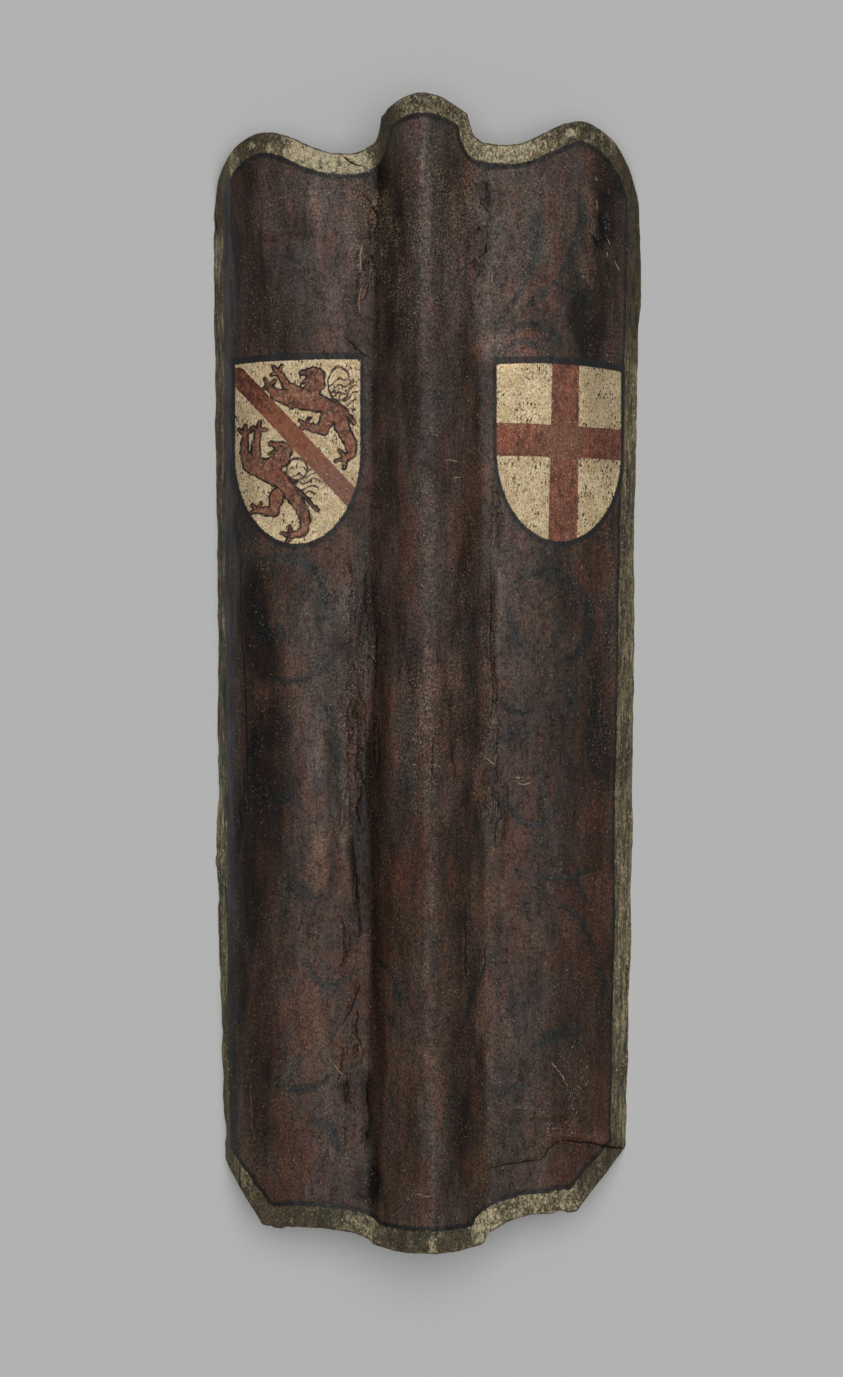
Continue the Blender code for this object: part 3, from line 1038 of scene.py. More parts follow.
    def build(self) -> bpy.types.Object:
        """Makes the shield's mesh with its values, map and slots.

        Returns:
            The shield's object, with no materials yet.
        """
        base = self.base_points()
        gaps = self.edge_gaps(base)
        normals = grid_normals(base)
        normals[:, :2], normals[:, -2:] = normals[:, 2:3], normals[:, -3:-2]
        relief = self.relief(base[..., 0], base[..., 1], gaps)
        values = self.face_values(base, gaps, relief)
        front = base + normals * relief[..., None]
        rounding = self.rim_round * (1.0 - ease(np.minimum(gaps[2], gaps[3]), 0.0, self.rim_fade))
        front = front - normals * rounding[..., None]
        front[:, [0, -1], 2] = 0.0
        front[..., 2] = np.maximum(front[..., 2], 0.0)
        back = self.back_points(base, normals)

        rim = self.rim_places(self.rows, 2 * self.columns)
        back_rim = self.rim_places(self.rows // self.coarse, 2 * self.columns // self.coarse)
        rings = self.rim_rings(front, back, rim, back_rim)
        points = np.concatenate([front.reshape(-1, 3), *rings, back.reshape(-1, 3)])

        mesh = bpy.data.meshes.new(self.name)
        work = self.patch_faces(front, back, rim, back_rim)
        mesh.from_pydata(points.tolist(), [], work.faces)
        mesh.uv_layers.new(name="OFBake").data.foreach_set("uv", np.concatenate(work.corners))
        mesh.polygons.foreach_set("material_index", np.concatenate(work.finishes))
        for name, value in values.items():
            filled = [value.reshape(-1), *(value[rim] for _ in rings), np.zeros(back[..., 0].size)]
            layer = mesh.attributes.new(name, "FLOAT", "POINT")
            layer.data.foreach_set("value", np.concatenate(filled).astype(np.float32))
        mesh.shade_smooth()
        mesh.set_sharp_from_angle(angle=math.radians(self.sharp_angle))
        mesh.update()
        shield = bpy.data.objects.new(self.name, mesh)
        bpy.context.scene.collection.objects.link(shield)
        return shield

    def rim_rings(self, front: Array, back: Array, rim: Rim, back_rim: Rim) -> list[Array]:
        """Rings of points round the rim, between the face's edge and the back's.

        Args:
            front: Points of the face.
            back: Points of the back.
            rim: Rows and columns of the face's edge.
            back_rim: Rows and columns of the back's edge.

        Returns:
            The rings, from the face to the back.
        """
        edge = front[rim]
        far = back[back_rim]
        count = np.arange(len(edge)) / self.coarse
        whole = np.floor(count).astype(int)
        part = (count - whole)[:, None]
        far = far[whole] + (np.roll(far, -1, axis=0)[whole] - far[whole]) * part
        inward = np.clip(rim[0], 1, self.rows - 1), np.clip(rim[1], 1, 2 * self.columns - 1)
        outward = edge - front[inward]
        outward /= np.linalg.norm(outward, axis=-1, keepdims=True)
        foot = ((rim[1] == 0) | (rim[1] == 2 * self.columns))[:, None]
        chance = np.random.default_rng(self.ring_seed)
        rings = []
        for depth in self.ring_depths:
            wear = chance.uniform(-1.0, 1.0, (len(edge), 1)) * self.rim_wear
            swell = outward * (self.rim_round * 0.5 + wear)
            ring = edge + (far - edge) * depth + np.where(foot, 0.0, swell)
            ring[:, 2] = np.where(foot[:, 0], 0.0, np.maximum(ring[:, 2], 0.0))
            rings.append(ring)
        return rings

    def patch_faces(self, front: Array, back: Array, rim: Rim, back_rim: Rim) -> Patchwork:
        """Faces of the whole shield with their map: face, rim and back side by side.

        Args:
            front: Points of the face.
            back: Points of the back.
            rim: Rows and columns of the face's edge.
            back_rim: Rows and columns of the back's edge.

        Returns:
            The faces.
        """
        work = Patchwork()
        numbers = np.arange(front[..., 0].size).reshape(front.shape[:2])
        faces = self.grid_faces(numbers)
        middle = front.reshape(-1, 3)[faces].mean(axis=1)
        finish = np.full(len(faces), Finish.FIELD.value)
        for slot, shape in self.arms.items():
            finish[shape.covers(middle[:, 0], middle[:, 1])] = slot.value
        work.add(faces, self.grid_map(front.shape, *self.face_strip)[faces], finish)

        place = np.arange(len(rim[0]))
        loops = [numbers[rim]]
        first = numbers.size
        for _ in self.ring_depths:
            loops.append(first + place)
            first += len(place)
        depths = (0.0, *self.ring_depths, 1.0)
        for level, (upper, lower) in enumerate(zip(loops, loops[1:])):
            quads = np.stack([upper, lower, np.roll(lower, -1), np.roll(upper, -1)], axis=1)
            corners = [
                self.rim_map(place + ahead, place, len(place), depths[level + down])
                for ahead, down in ((0, 0), (0, 1), (1, 1), (1, 0))
            ]
            slot = Finish.FIELD if level == 0 else Finish.BACK
            work.add(quads, np.stack(corners, axis=1), slot.value)

        back_numbers = first + np.arange(back[..., 0].size).reshape(back.shape[:2])
        self.join_back(work, loops[-1], back_numbers[back_rim], depths[-2])
        back_faces = self.grid_faces(back_numbers)[:, ::-1]
        places = self.grid_map(back.shape, *self.back_strip)[back_faces - first]
        work.add(back_faces, places, Finish.BACK.value)
        return work

    def grid_faces(self, numbers: Array) -> Array:
        """Four-cornered faces of a grid of vertex numbers."""
        corners = numbers[:-1, :-1], numbers[:-1, 1:], numbers[1:, 1:], numbers[1:, :-1]
        return np.stack([corner.reshape(-1) for corner in corners], axis=1)

    def grid_map(self, shape: tuple[int, ...], start: float, end: float) -> Array:
        """Map places of a grid's points, in an upright strip of the map."""
        across = np.linspace(start, end, shape[1])
        across, up = np.meshgrid(across, np.linspace(*self.map_ends, shape[0]))
        return np.stack([across.reshape(-1), up.reshape(-1)], axis=-1)

    def rim_map(self, place: Array, piece: Array, count: int, depth: float) -> Array:
        """Map places on the rim's two strips, each for half of the way round.

        Args:
            place: Places round the rim.
            piece: First place of the face that each one belongs to.
            count: How many places there are.
            depth: How deep they lie in the board, 0 to 1.

        Returns:
            The map places.
        """
        half = (piece >= count // 2).astype(float)
        low, high = self.map_ends
        start, width = self.rim_strip
        up = low + (high - low) * (place - half * (count // 2)) / (count // 2)
        return np.stack([start + self.rim_pitch * half + width * depth + 0 * up, up], axis=-1)

    def join_back(self, work: Patchwork, fine: Array, coarse: Array, depth: float) -> None:
        """Adds fans of triangles from the last fine ring to the coarse edge of the back.

        Args:
            work: Where the triangles are added.
            fine: Vertex numbers of the ring.
            coarse: Vertex numbers of the back's edge.
            depth: How deep the ring lies in the board.
        """
        step = self.coarse
        base = np.arange(len(coarse)) * step
        fans = []
        for part in range(step):
            side = base + (step if part >= step // 2 else 0)
            fans.append(((base + part, depth), (side, 1.0), (base + part + 1, depth)))
        fans.append(((base + step // 2, depth), (base, 1.0), (base + step, 1.0)))
        for fan in fans:
            faces, corners = [], []
            for place, level in fan:
                ring = fine[place % len(fine)] if level == depth else coarse[place // step % len(coarse)]
                faces.append(ring)
                corners.append(self.rim_map(place, base, len(fine), level))
            work.add(np.stack(faces, axis=1), np.stack(corners, axis=1), Finish.BACK.value)

    def dress(self, shield: bpy.types.Object, finishes: dict[Finish, bpy.types.Material]) -> None:
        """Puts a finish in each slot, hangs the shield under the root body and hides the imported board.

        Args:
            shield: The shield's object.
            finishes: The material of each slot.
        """
        for slot in Finish:
            shield.data.materials.append(finishes[slot])
        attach(shield, "root")
        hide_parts(self.node)
        log.info("%s: %d faces in place of %s", shield.name, len(shield.data.polygons), self.node)


class Signal:
    """A value, vector or colour that leaves a node, with sums written as in arithmetic."""

    def __init__(self, graph: "Graph", socket: Socket) -> None:
        """Takes the graph and the socket that the signal leaves by."""
        self.graph = graph
        self.socket = socket

    def __add__(self, other: Feed) -> "Signal":
        """Sum of two values."""
        return self.graph.math("ADD", self, other)

    def __sub__(self, other: Feed) -> "Signal":
        """This value less another."""
        return self.graph.math("SUBTRACT", self, other)

    def __rsub__(self, other: float) -> "Signal":
        """A plain number less this value."""
        return self.graph.math("SUBTRACT", other, self)

    def __mul__(self, other: Feed) -> "Signal":
        """Product of two values."""
        return self.graph.math("MULTIPLY", self, other)

    def __truediv__(self, other: Feed) -> "Signal":
        """This value over another."""
        return self.graph.math("DIVIDE", self, other)

    def __abs__(self) -> "Signal":
        """This value without its sign."""
        return self.graph.math("ABSOLUTE", self)

    def onto(self, factor: Feed, base: Feed) -> "Signal":
        """This value times a factor, added to a base."""
        return self.graph.math("MULTIPLY_ADD", self, factor, base)

    def least(self, other: Feed) -> "Signal":
        """The smaller of two values."""
        return self.graph.math("MINIMUM", self, other)

    def most(self, other: Feed) -> "Signal":
        """The larger of two values."""
        return self.graph.math("MAXIMUM", self, other)

    def step(self, start: Feed, end: Feed) -> "Signal":
        """Smooth step from 0, where this value is at start, to 1, where it is at end."""
        given = {"Value": self, "From Min": start, "From Max": end}
        return self.graph.signal("MapRange", "Result", given, interpolation_type="SMOOTHSTEP")

    def mix(self, first: Feed, second: Feed, kind: str = "RGBA") -> "Signal":
        """Mix of two colours, vectors or values: the first where this share is 0."""
        return self.graph.mix(self, first, second, kind)

    def between(self, low: Feed, high: Feed) -> "Signal":
        """A value that runs from low to high with this share."""
        return self.mix(low, high, "FLOAT")

    def ramp(self, start: float, end: float, low: Feed, high: Feed) -> "Signal":
        """A value that runs smoothly from low to high between two limits of this one."""
        return self.step(start, end).between(low, high)

    def scaled(self, amount: Feed) -> "Signal":
        """This colour or vector times an amount."""
        return self.graph.vector("SCALE", self, scale=amount)

    def coat(self, paint: Feed, mask: "Signal", strength: float = 1.0) -> "Signal":
        """This colour with a paint over it, as thick as the mask and its strength say."""
        return self.graph.mix(mask if strength == 1.0 else mask * strength, self, paint)


class Graph:
    """Writes shader nodes in reading order and lays them out in rows."""

    per_row = 10
    pitch = (190, 300)

    def __init__(self, tree: bpy.types.NodeTree) -> None:
        """Starts on a node tree."""
        self.tree = tree
        self.count = 0

    def feed(self, socket: Socket, value: Feed) -> None:
        """Links a signal to a socket, or sets the socket's plain value.

        Args:
            socket: The socket to feed.
            value: A signal, a number, or the numbers of a vector or colour.
        """
        if isinstance(value, Signal):
            self.tree.links.new(value.socket, socket)
        elif socket.type == "RGBA":
            socket.default_value = (*value[:3], 1.0)
        else:
            socket.default_value = value

    def node(
        self, kind: str, inputs: dict[str, Feed] | None = None, **settings: object
    ) -> bpy.types.Node:
        """Adds a node.

        Args:
            kind: The node's type, without its common beginning.
            inputs: What its named sockets are fed.
            **settings: Its own settings.

        Returns:
            The node.
        """
        made = self.tree.nodes.new(kind if kind.startswith("Node") else "ShaderNode" + kind)
        down, across = divmod(self.count, self.per_row)
        made.location = (across * self.pitch[0], -down * self.pitch[1])
        self.count += 1
        for name, value in settings.items():
            setattr(made, name, value)
        for name, value in (inputs or {}).items():
            self.feed(made.inputs[name], value)
        return made

    def signal(self, kind: str, output: str, inputs: dict[str, Feed], **settings: object) -> Signal:
        """Adds a node and takes the output of that name."""
        return Signal(self, self.node(kind, inputs, **settings).outputs[output])

    def math(self, operation: str, *values: Feed, clamp: bool = False) -> Signal:
        """Result of a sum on plain values.

        Args:
            operation: The node's operation.
            *values: What it works on, in order.
            clamp: Whether the result is held between 0 and 1.

        Returns:
            The result.
        """
        made = self.node("Math", operation=operation, use_clamp=clamp)
        for socket, value in zip(made.inputs, values):
            self.feed(socket, value)
        return Signal(self, made.outputs[0])

    def vector(self, operation: str, *values: Feed, scale: Feed | None = None) -> Signal:
        """Result of a sum on vectors.

        Args:
            operation: The node's operation.
            *values: What it works on, in order.
            scale: The amount, for the operation that scales.

        Returns:
            A vector, or a value where the operation gives one.
        """
        made = self.node("VectorMath", operation=operation)
        for socket, value in zip(made.inputs, values):
            self.feed(socket, value)
        if scale is not None:
            self.feed(made.inputs["Scale"], scale)
        plain = operation in ("DOT_PRODUCT", "LENGTH", "DISTANCE")
        return Signal(self, made.outputs["Value" if plain else "Vector"])

    def mix(self, share: Feed, first: Feed, second: Feed, kind: str = "RGBA") -> Signal:
        """Mix of two colours, vectors or values.

        Args:
            share: How much of the second.
            first: What share 0 gives.
            second: What share 1 gives.
            kind: FLOAT, VECTOR or RGBA.

        Returns:
            The mix.
        """
        made = self.node("Mix", data_type=kind)
        number = ("FLOAT", "VECTOR", "RGBA").index(kind)
        for place, value in zip((0, 2 * number + 2, 2 * number + 3), (share, first, second)):
            self.feed(made.inputs[place], value)
        return Signal(self, made.outputs[number])

    def attribute(self, name: str) -> Signal:
        """A value that the mesh carries."""
        return self.signal("Attribute", "Fac", {}, attribute_name=name)

    def point(self) -> Signal:
        """Place on the object, in metres."""
        return self.signal("TexCoord", "Object", {})


def stretch(point: Signal, sizes: Sequence[float]) -> Signal:
    """Point scaled along each axis, so that a pattern on it is drawn out."""
    return point.graph.vector("MULTIPLY", point, tuple(sizes))


@dataclass(frozen=True)
class Grain:
    """Cloudy noise of one size, drawn out up the shield where up is below 1.

    Its mask runs from 0, where the noise is at low, to 1, where it is at high.
    """

    scale: float
    detail: float = 2.0
    rough: float = 0.5
    up: float = 1.0
    low: float = 0.0
    high: float = 1.0

    def at(self, point: Signal) -> Signal:
        """The noise, between 0 and 1.

        Args:
            point: Place on the shield.

        Returns:
            The noise there.
        """
        if self.up != 1.0:
            point = stretch(point, (1.0, self.up, 1.0))
        given = {"Vector": point, "Scale": self.scale, "Detail": self.detail, "Roughness": self.rough}
        return point.graph.signal("TexNoise", "Fac", given)

    def cut(self, noise: Signal) -> Signal:
        """Mask of a noise between the two limits."""
        return noise.step(self.low, self.high)

    def mask(self, point: Signal) -> Signal:
        """Mask of the grain's own noise."""
        return self.cut(self.at(point))


class Effect:
    """A surface effect that finishes share, kept as one node group with named sockets."""

    name = ""
    inputs: dict[str, str] = {}
    outputs: dict[str, str] = {}

    def fill(self, graph: Graph, given: dict[str, Signal]) -> dict[str, Feed]:
        """Writes the group's nodes.

        Args:
            graph: Where to write them.
            given: The group's inputs by name.

        Returns:
            What feeds each output.
        """
        raise NotImplementedError

    def tree(self) -> bpy.types.NodeTree:
        """The effect's node group, built on first use.

        Returns:
            The node group.
        """
        known = bpy.data.node_groups.get(self.name)
        if known is not None:
            return known
        tree = bpy.data.node_groups.new(self.name, "ShaderNodeTree")
        for side, sockets in (("INPUT", self.inputs), ("OUTPUT", self.outputs)):
            for name, kind in sockets.items():
                tree.interface.new_socket(name, in_out=side, socket_type="NodeSocket" + kind)
        graph = Graph(tree)
        entry = graph.node("NodeGroupInput")
        results = self.fill(graph, {name: Signal(graph, entry.outputs[name]) for name in self.inputs})
        graph.node("NodeGroupOutput", results)
        return tree

    def place(self, graph: Graph, given: dict[str, Feed] | None = None) -> dict[str, Signal]:
        """Puts the effect in a graph.

        Args:
            graph: Where it goes.
            given: What feeds its inputs.

        Returns:
            Its outputs by name.
        """
        made = graph.node("Group", given, node_tree=self.tree(), label=self.name)
        return {name: Signal(graph, made.outputs[name]) for name in self.outputs}


@dataclass(frozen=True)
class PaintGrain(Effect):
    """Grain of old paint on hide, from fine grit to broad clouds, all between 0 and 1."""

    grit: Grain = Grain(470.0, 4.0, 0.68, 0.75)
    cloud: Grain = Grain(34.0, 6.0, 0.64, 0.30)
    streak: Grain = Grain(130.0, 5.0, 0.64, 0.17)
    speck: Grain = Grain(640.0, 1.0, 0.5, 0.75, 0.66, 0.73)
    speckled: Grain = Grain(50.0, 3.0, 0.6, 0.5, 0.38, 0.62)
    pit: Grain = Grain(400.0, 2.0, 0.5, 0.5, 0.37, 0.28)
    hair: Grain = Grain(300.0)
    hair_limits: Place = (0.006, 0.026)
    hairy: Grain = Grain(170.0, low=0.50, high=0.60)
    skin: Grain = Grain(135.0, 4.0, 0.62, 0.62)
    wrinkled: Grain = Grain(110.0, low=0.42, high=0.60)
    wrinkle_levels: Path = ((0.515, 0.030), (0.470, 0.034))

    name = "paint grain"
    inputs = {"Point": "Vector", "Rub": "Float"}
    outputs = dict.fromkeys(
        ("Grit", "Cloud", "Streak", "Speck", "Pit", "Hair", "Crest", "Furrow"), "Float"
    )

    def fill(self, graph: Graph, given: dict[str, Signal]) -> dict[str, Feed]:
        """Writes the noises, drawn out up the shield as the hide is.

        Args:
            graph: Not used; the nodes go into the point's graph.
            given: Place on the shield, and how far the paint is rubbed.

        Returns:
            The grains by name.
        """
        point = given["Point"]
        grains = [grain.at(point) for grain in (self.grit, self.cloud, self.streak)]
        fleck = given["Rub"].onto(0.070, self.speck.at(point))
        where = self.speckled.at(point)
        grains.append(self.speck.cut(fleck) * self.speckled.cut(where))
        grains.append(self.pit.mask(point))
        hair = self.hair.at(stretch(point, (0.8, 1.0, 1.0))) - 0.5
        hair = 1.0 - abs(hair).step(*self.hair_limits)
        grains.append(hair * self.hairy.mask(point))
        skin = self.skin.at(point)
        wrinkled = self.wrinkled.mask(point)
        for level, width in self.wrinkle_levels:
            line = 1.0 - abs(skin - level).step(width * 0.2, width)
            grains.append(line * wrinkled)
        return dict(zip(self.outputs, grains))


class RaggedBand(Effect):
    """Mask of a painted band: 1 where a depth lies between two limits, with uneven edges."""

    name = "ragged band"
    inputs = {"Point": "Vector"} | dict.fromkeys(
        ("Depth", "Start", "End", "Softness", "Raggedness", "Grain"), "Float"
    )
    outputs = {"Mask": "Float"}

    def fill(self, graph: Graph, given: dict[str, Signal]) -> dict[str, Feed]:
        """Writes the band, its limits shaken by noise.

        Args:
            graph: Where to write it.
            given: Place, depth, both limits, and how soft and ragged they are.

        Returns:
            The mask.
        """
        noise = {"Vector": given["Point"], "Scale": given["Grain"], "Detail": 3.0}
        shake = graph.signal("TexNoise", "Fac", noise) - 0.5
        depth = shake.onto(given["Raggedness"], given["Depth"])
        soft = given["Softness"]
        masks = [depth.step(given[limit] - soft, given[limit] + soft) for limit in ("Start", "End")]
        outside = 1.0 - masks[1]
        return {"Mask": masks[0] * outside}

    def mask(
        self, point: Signal, depth: Signal, soft: float, ragged: float,
        grain: float = 180.0, end: float = 0.0, start: float = -1.0,
    ) -> Signal:
        """Puts the band in the graph of a depth.

        Args:
            point: Place on the shield.
            depth: The value that the limits are set on.
            soft: Half width of each soft edge.
            ragged: How far noise shakes the edges.
            grain: Scale of that noise.
            end: Depth where the band ends.
            start: Depth where it starts.

        Returns:
            The mask.
        """
        given = {"Point": point, "Depth": depth, "Start": start, "End": end}
        given |= {"Softness": soft, "Raggedness": ragged, "Grain": grain}
        return self.place(depth.graph, given)["Mask"]


@dataclass(frozen=True)
class LineMark(Effect):
    """Mask of a thin crack or scratch, broken up along its way."""

    bend: Grain = Grain(150.0, 3.0, 0.6)
    bend_reach: float = 0.0042
    whole: Grain = Grain(95.0, low=0.40, high=0.56)
    least_width: float = 0.00001
    edge: Place = (0.55, 1.3)
    drawn_widths: Place = (0.00003, 0.0002)

    name = "line mark"
    inputs = {"Point": "Vector", "Across": "Float", "Width": "Float", "Gaps": "Float"}
    outputs = {"Mask": "Float"}

    def fill(self, graph: Graph, given: dict[str, Signal]) -> dict[str, Feed]:
        """Writes the line, bent by noise and thinned where the noise is low.

        Args:
            graph: Not used; the nodes go into the point's graph.
            given: Place, distance across the line, its half width and how broken it is.

        Returns:
            The mask.
        """
        bend = self.bend.at(given["Point"]) - 0.5
        across = abs(bend.onto(self.bend_reach, given["Across"]))
        thin = 1.0 - given["Gaps"]
        width = given["Width"] * self.whole.mask(given["Point"]).between(thin, 1.0)
        drawn = 1.0 - (across / width.most(self.least_width)).step(*self.edge)
        return {"Mask": drawn * width.step(*self.drawn_widths)}


class BrushStroke(Effect):
    """Distance to a tapered stroke with round ends, joined to the strokes before it."""

    name = "brush stroke"
    inputs = dict.fromkeys(("Point", "Start", "End"), "Vector") | dict.fromkeys(
        ("Start Width", "End Width", "Before"), "Float"
    )
    outputs = {"Distance": "Float"}

    def fill(self, graph: Graph, given: dict[str, Signal]) -> dict[str, Feed]:
        """Writes the stroke's distance, negative inside, and keeps the smaller one.

        Args:
            graph: Where to write it.
            given: Place, both ends, their half widths and the distance before.

        Returns:
            The distance.
        """
        spot = graph.vector("SUBTRACT", given["Point"], given["Start"])
        leg = graph.vector("SUBTRACT", given["End"], given["Start"])
        reach = graph.vector("DOT_PRODUCT", spot, leg)
        share = graph.math("DIVIDE", reach, graph.vector("DOT_PRODUCT", leg, leg), clamp=True)
        gap = graph.vector("LENGTH", graph.vector("SUBTRACT", spot, leg.scaled(share)))
        distance = gap - share.between(given["Start Width"], given["End Width"])
        return {"Distance": distance.least(given["Before"])}

    def draw(self, point: Signal, ends: Sequence[Place], widths: Place, before: Feed) -> Signal:
        """Puts a stroke in a point's graph.

        Args:
            point: The place to measure from, flat.
            ends: Its start and its end.
            widths: Half widths at both.
            before: Distance to the strokes before it.

        Returns:
            Distance to the nearest stroke, negative inside.
        """
        given = {"Point": point, "Start": (*ends[0], 0.0), "End": (*ends[1], 0.0)}
        given |= {"Start Width": widths[0], "End Width": widths[1], "Before": before}
        return self.place(point.graph, given)["Distance"]


@dataclass(frozen=True)
class FieldPaint(Effect):
    """The dark field with its border, contour, faded scrollwork, cracks and scratches."""

    dark: Color = (0.0165, 0.0088, 0.0058)
    brown: Color = (0.0620, 0.0350, 0.0210)
    purple: Color = (0.0585, 0.0355, 0.0290)
    red: Color = (0.0680, 0.0225, 0.0125)
    slate: Color = (0.0240, 0.0250, 0.0220)
    # Pale grey-brown of the cover's raised crests: wear and painted sheen
    worn: Color = (0.0820, 0.0610, 0.0510)
    scroll: Color = (0.0160, 0.0168, 0.0150)
    contour: Color = (0.0075, 0.0085, 0.0082)
    contour_worn: Color = (0.0400, 0.0365, 0.0375)
    border: Color = (0.2180, 0.1780, 0.1010)
    border_grime_and_furrow_shade: Color = (0.0350, 0.0312, 0.0185)
    border_stain: Color = (0.0780, 0.0560, 0.0310)
    greyer: Color = (1.16, 1.25, 1.34)
    bare_ground: Color = (0.4400, 0.3700, 0.2450)
    speck: Color = (0.3000, 0.2250, 0.1300)
    # Dark line along the top and bottom edges: painted shade of the board's edge
    rim: Color = (0.0360, 0.0230, 0.0120)
    gap: Color = (0.0050, 0.0040, 0.0035)

    brown_clouds: Grain = Grain(14.0, 3.0, 0.5, 0.5, 0.36, 0.64)
    red_clouds: Grain = Grain(17.0, 4.0, 0.6, 0.34, 0.51, 0.66)
    slate_clouds: Grain = Grain(24.0, 5.0, 0.64, 0.40, 0.50, 0.64)
    hue_streaks: Grain = Grain(85.0, 4.0, 0.62, 0.20)
    border_clouds: Grain = Grain(135.0, 6.0, 0.74, 0.6, 0.36, 0.60)
    border_streaks: Grain = Grain(120.0, 5.0, 0.68, 0.12)
    border_stains: Grain = Grain(60.0, 5.0, 0.7, 0.4, 0.48, 0.63)
    border_chips: Grain = Grain(310.0, 5.0, 0.76, 0.75, 0.50, 0.61)
    border_fibre: Grain = Grain(420.0, 4.0, 0.62)
    border_patches: Grain = Grain(24.0, 3.0, 0.6, 0.3, 0.40, 0.60)
    scroll_wear: Grain = Grain(36.0, 5.0, 0.66, 1.0, 0.32, 0.58)
    crease_shake: Grain = Grain(90.0)
    raised: Place = (0.0004, 0.0030)
    relief_limits: Place = (-0.0024, 0.0024)
    relief_highlight_and_shade: Place = (0.50, 1.40)
    darkest_tone: float = 0.15
    least_crease: float = 0.00005
    crease_widths: Place = (0.00010, 0.00070)

    name = "field paint"
    outputs = {"Color": "Color", "Roughness": "Float", "Height": "Float"}

    def fill(self, graph: Graph, given: dict[str, Signal]) -> dict[str, Feed]:
        """Writes the field from its broad clouds to its finest marks.

        Args:
            graph: Where to write it.
            given: Nothing, because the paint reads the mesh.

        Returns:
            Colour, roughness and fine relief.
        """
        point = graph.point()
        grain = PaintGrain().place(graph, {"Point": point, "Rub": graph.attribute("rub")})
        color = self.field_color(point, grain)
        marks = self.marks(point)
        color = color.coat(self.scroll, marks["scroll"])
        color = self.shade(color, grain)
        contour = graph.attribute("left_side").mix(self.contour, self.contour_worn)
        brushed = grain["Streak"].ramp(0.32, 0.66, 0.45, 1.45)
        color = color.coat(contour.scaled(brushed), marks["contour"])
        color = color.coat(self.border_color(point, grain), marks["border"])
        color = color.coat(self.gap, grain["Pit"], 0.3)
        fleck = grain["Speck"] * grain["Grit"].ramp(0.35, 0.65, 0.35, 0.95)
        color = color.coat(self.speck, fleck.most(marks["scratch"]))
        color = color.coat(self.bare_ground, marks["worn"])
        # Painted shade along the top and bottom edges
        color = color.coat(self.rim, marks["rim"])
        color = color.coat(self.gap, marks["crack"])
        rough = grain["Cloud"].between(0.34, 0.54)
        rough = marks["border"].between(rough, 0.72)
        return {"Color": color, "Roughness": rough, "Height": self.height(grain, marks)}

    def field_color(self, point: Signal, grain: dict[str, Signal]) -> Signal:
        """Brown paint with redder and greyer clouds and streaks.

        Args:
            point: Place on the shield.
            grain: The paint's grains.

        Returns:
            The colour.
        """
        warmth = point.graph.attribute("warmth")
        browner = warmth.onto(0.14, self.brown_clouds.at(point))
        color = self.brown_clouds.cut(browner).mix(self.purple, self.brown)
        color = grain["Cloud"].step(0.30, 0.62).mix(self.dark, color)
        # Raised crests of the cover paler and greyer: wear and painted sheen
        high = point.graph.attribute("relief").step(*self.raised)
        color = color.coat(self.worn, high, 0.35)
        redder = warmth.onto(0.055, self.red_clouds.at(point))
        color = color.coat(self.red, self.red_clouds.cut(redder), 0.55)
        away = point.graph.vector("ADD", point, (3.0, 5.0, 0.0))
        greyer = warmth.onto(-0.045, self.slate_clouds.at(away))
        color = color.coat(self.slate, self.slate_clouds.cut(greyer), 0.52)
        hue = self.hue_streaks.at(away)
        color = color.coat(self.slate, hue.step(0.47, 0.35), 0.45)
        return color.coat(self.red, hue.step(0.54, 0.67), 0.35)

    def shade(self, color: Signal, grain: dict[str, Signal]) -> Signal:
        """Colour shaded by streaks, grit, and painted highlight and shade on creases, relief and broad
        tones.

        Args:
            color: The field's colour.
            grain: The paint's grains.

        Returns:
            The shaded colour.
        """
        graph = color.graph
        amount = grain["Streak"].ramp(0.30, 0.70, 0.74, 1.26)
        rub = graph.attribute("rub")
        low, high = rub.onto(-0.16, 0.42), rub.onto(0.34, 1.66)
        parts = [grain["Grit"].ramp(0.34, 0.66, low, high)]
        # Crests of the wrinkles lightened and the furrows beside them darkened: painted highlight and
        # painted shade
        fold = self.crease(graph)
        for name, tone in (("Crest", 1.50), ("Furrow", 0.52)):
            parts.append((grain[name] * 0.6).most(fold[name]).between(1.0, tone))
        # Raised relief lightened and sunken relief darkened: painted highlight on folds and painted shade
        # in hollows
        heights = dict(zip(("From Min", "From Max"), self.relief_limits))
        heights |= dict(zip(("To Min", "To Max"), self.relief_highlight_and_shade))
        parts.append(graph.signal("MapRange", "Result", {"Value": graph.attribute("relief")} | heights))
        # Broad tone patches: the paint's own tone together with painted shade and highlight
        parts.append((graph.attribute("tone") + 1.0).most(self.darkest_tone))
        parts.append((grain["Hair"] * graph.attribute("rub")).between(1.0, 2.6))
        for part in parts:
            amount = amount * part
        return color.scaled(amount)

    def crease(self, graph: Graph) -> dict[str, Signal]:
        """Masks of the wrinkles' crests and of the furrow beside each one.

        Args:
            graph: Where to write them.

        Returns:
            The masks by name.
        """
        shake = self.crease_shake.at(graph.point())
        across = (shake - 0.5).onto(0.0050, graph.attribute("crease_across"))
        width = graph.attribute("crease_width") * shake.step(0.30, 0.60)
        share = across / width.most(self.least_crease)
        there = width.step(*self.crease_widths)
        marks = {}
        for name, center in (("Crest", 0.0), ("Furrow", 2.1)):
            marks[name] = (1.0 - abs(share - center).step(0.0, 1.5)) * there
        return marks

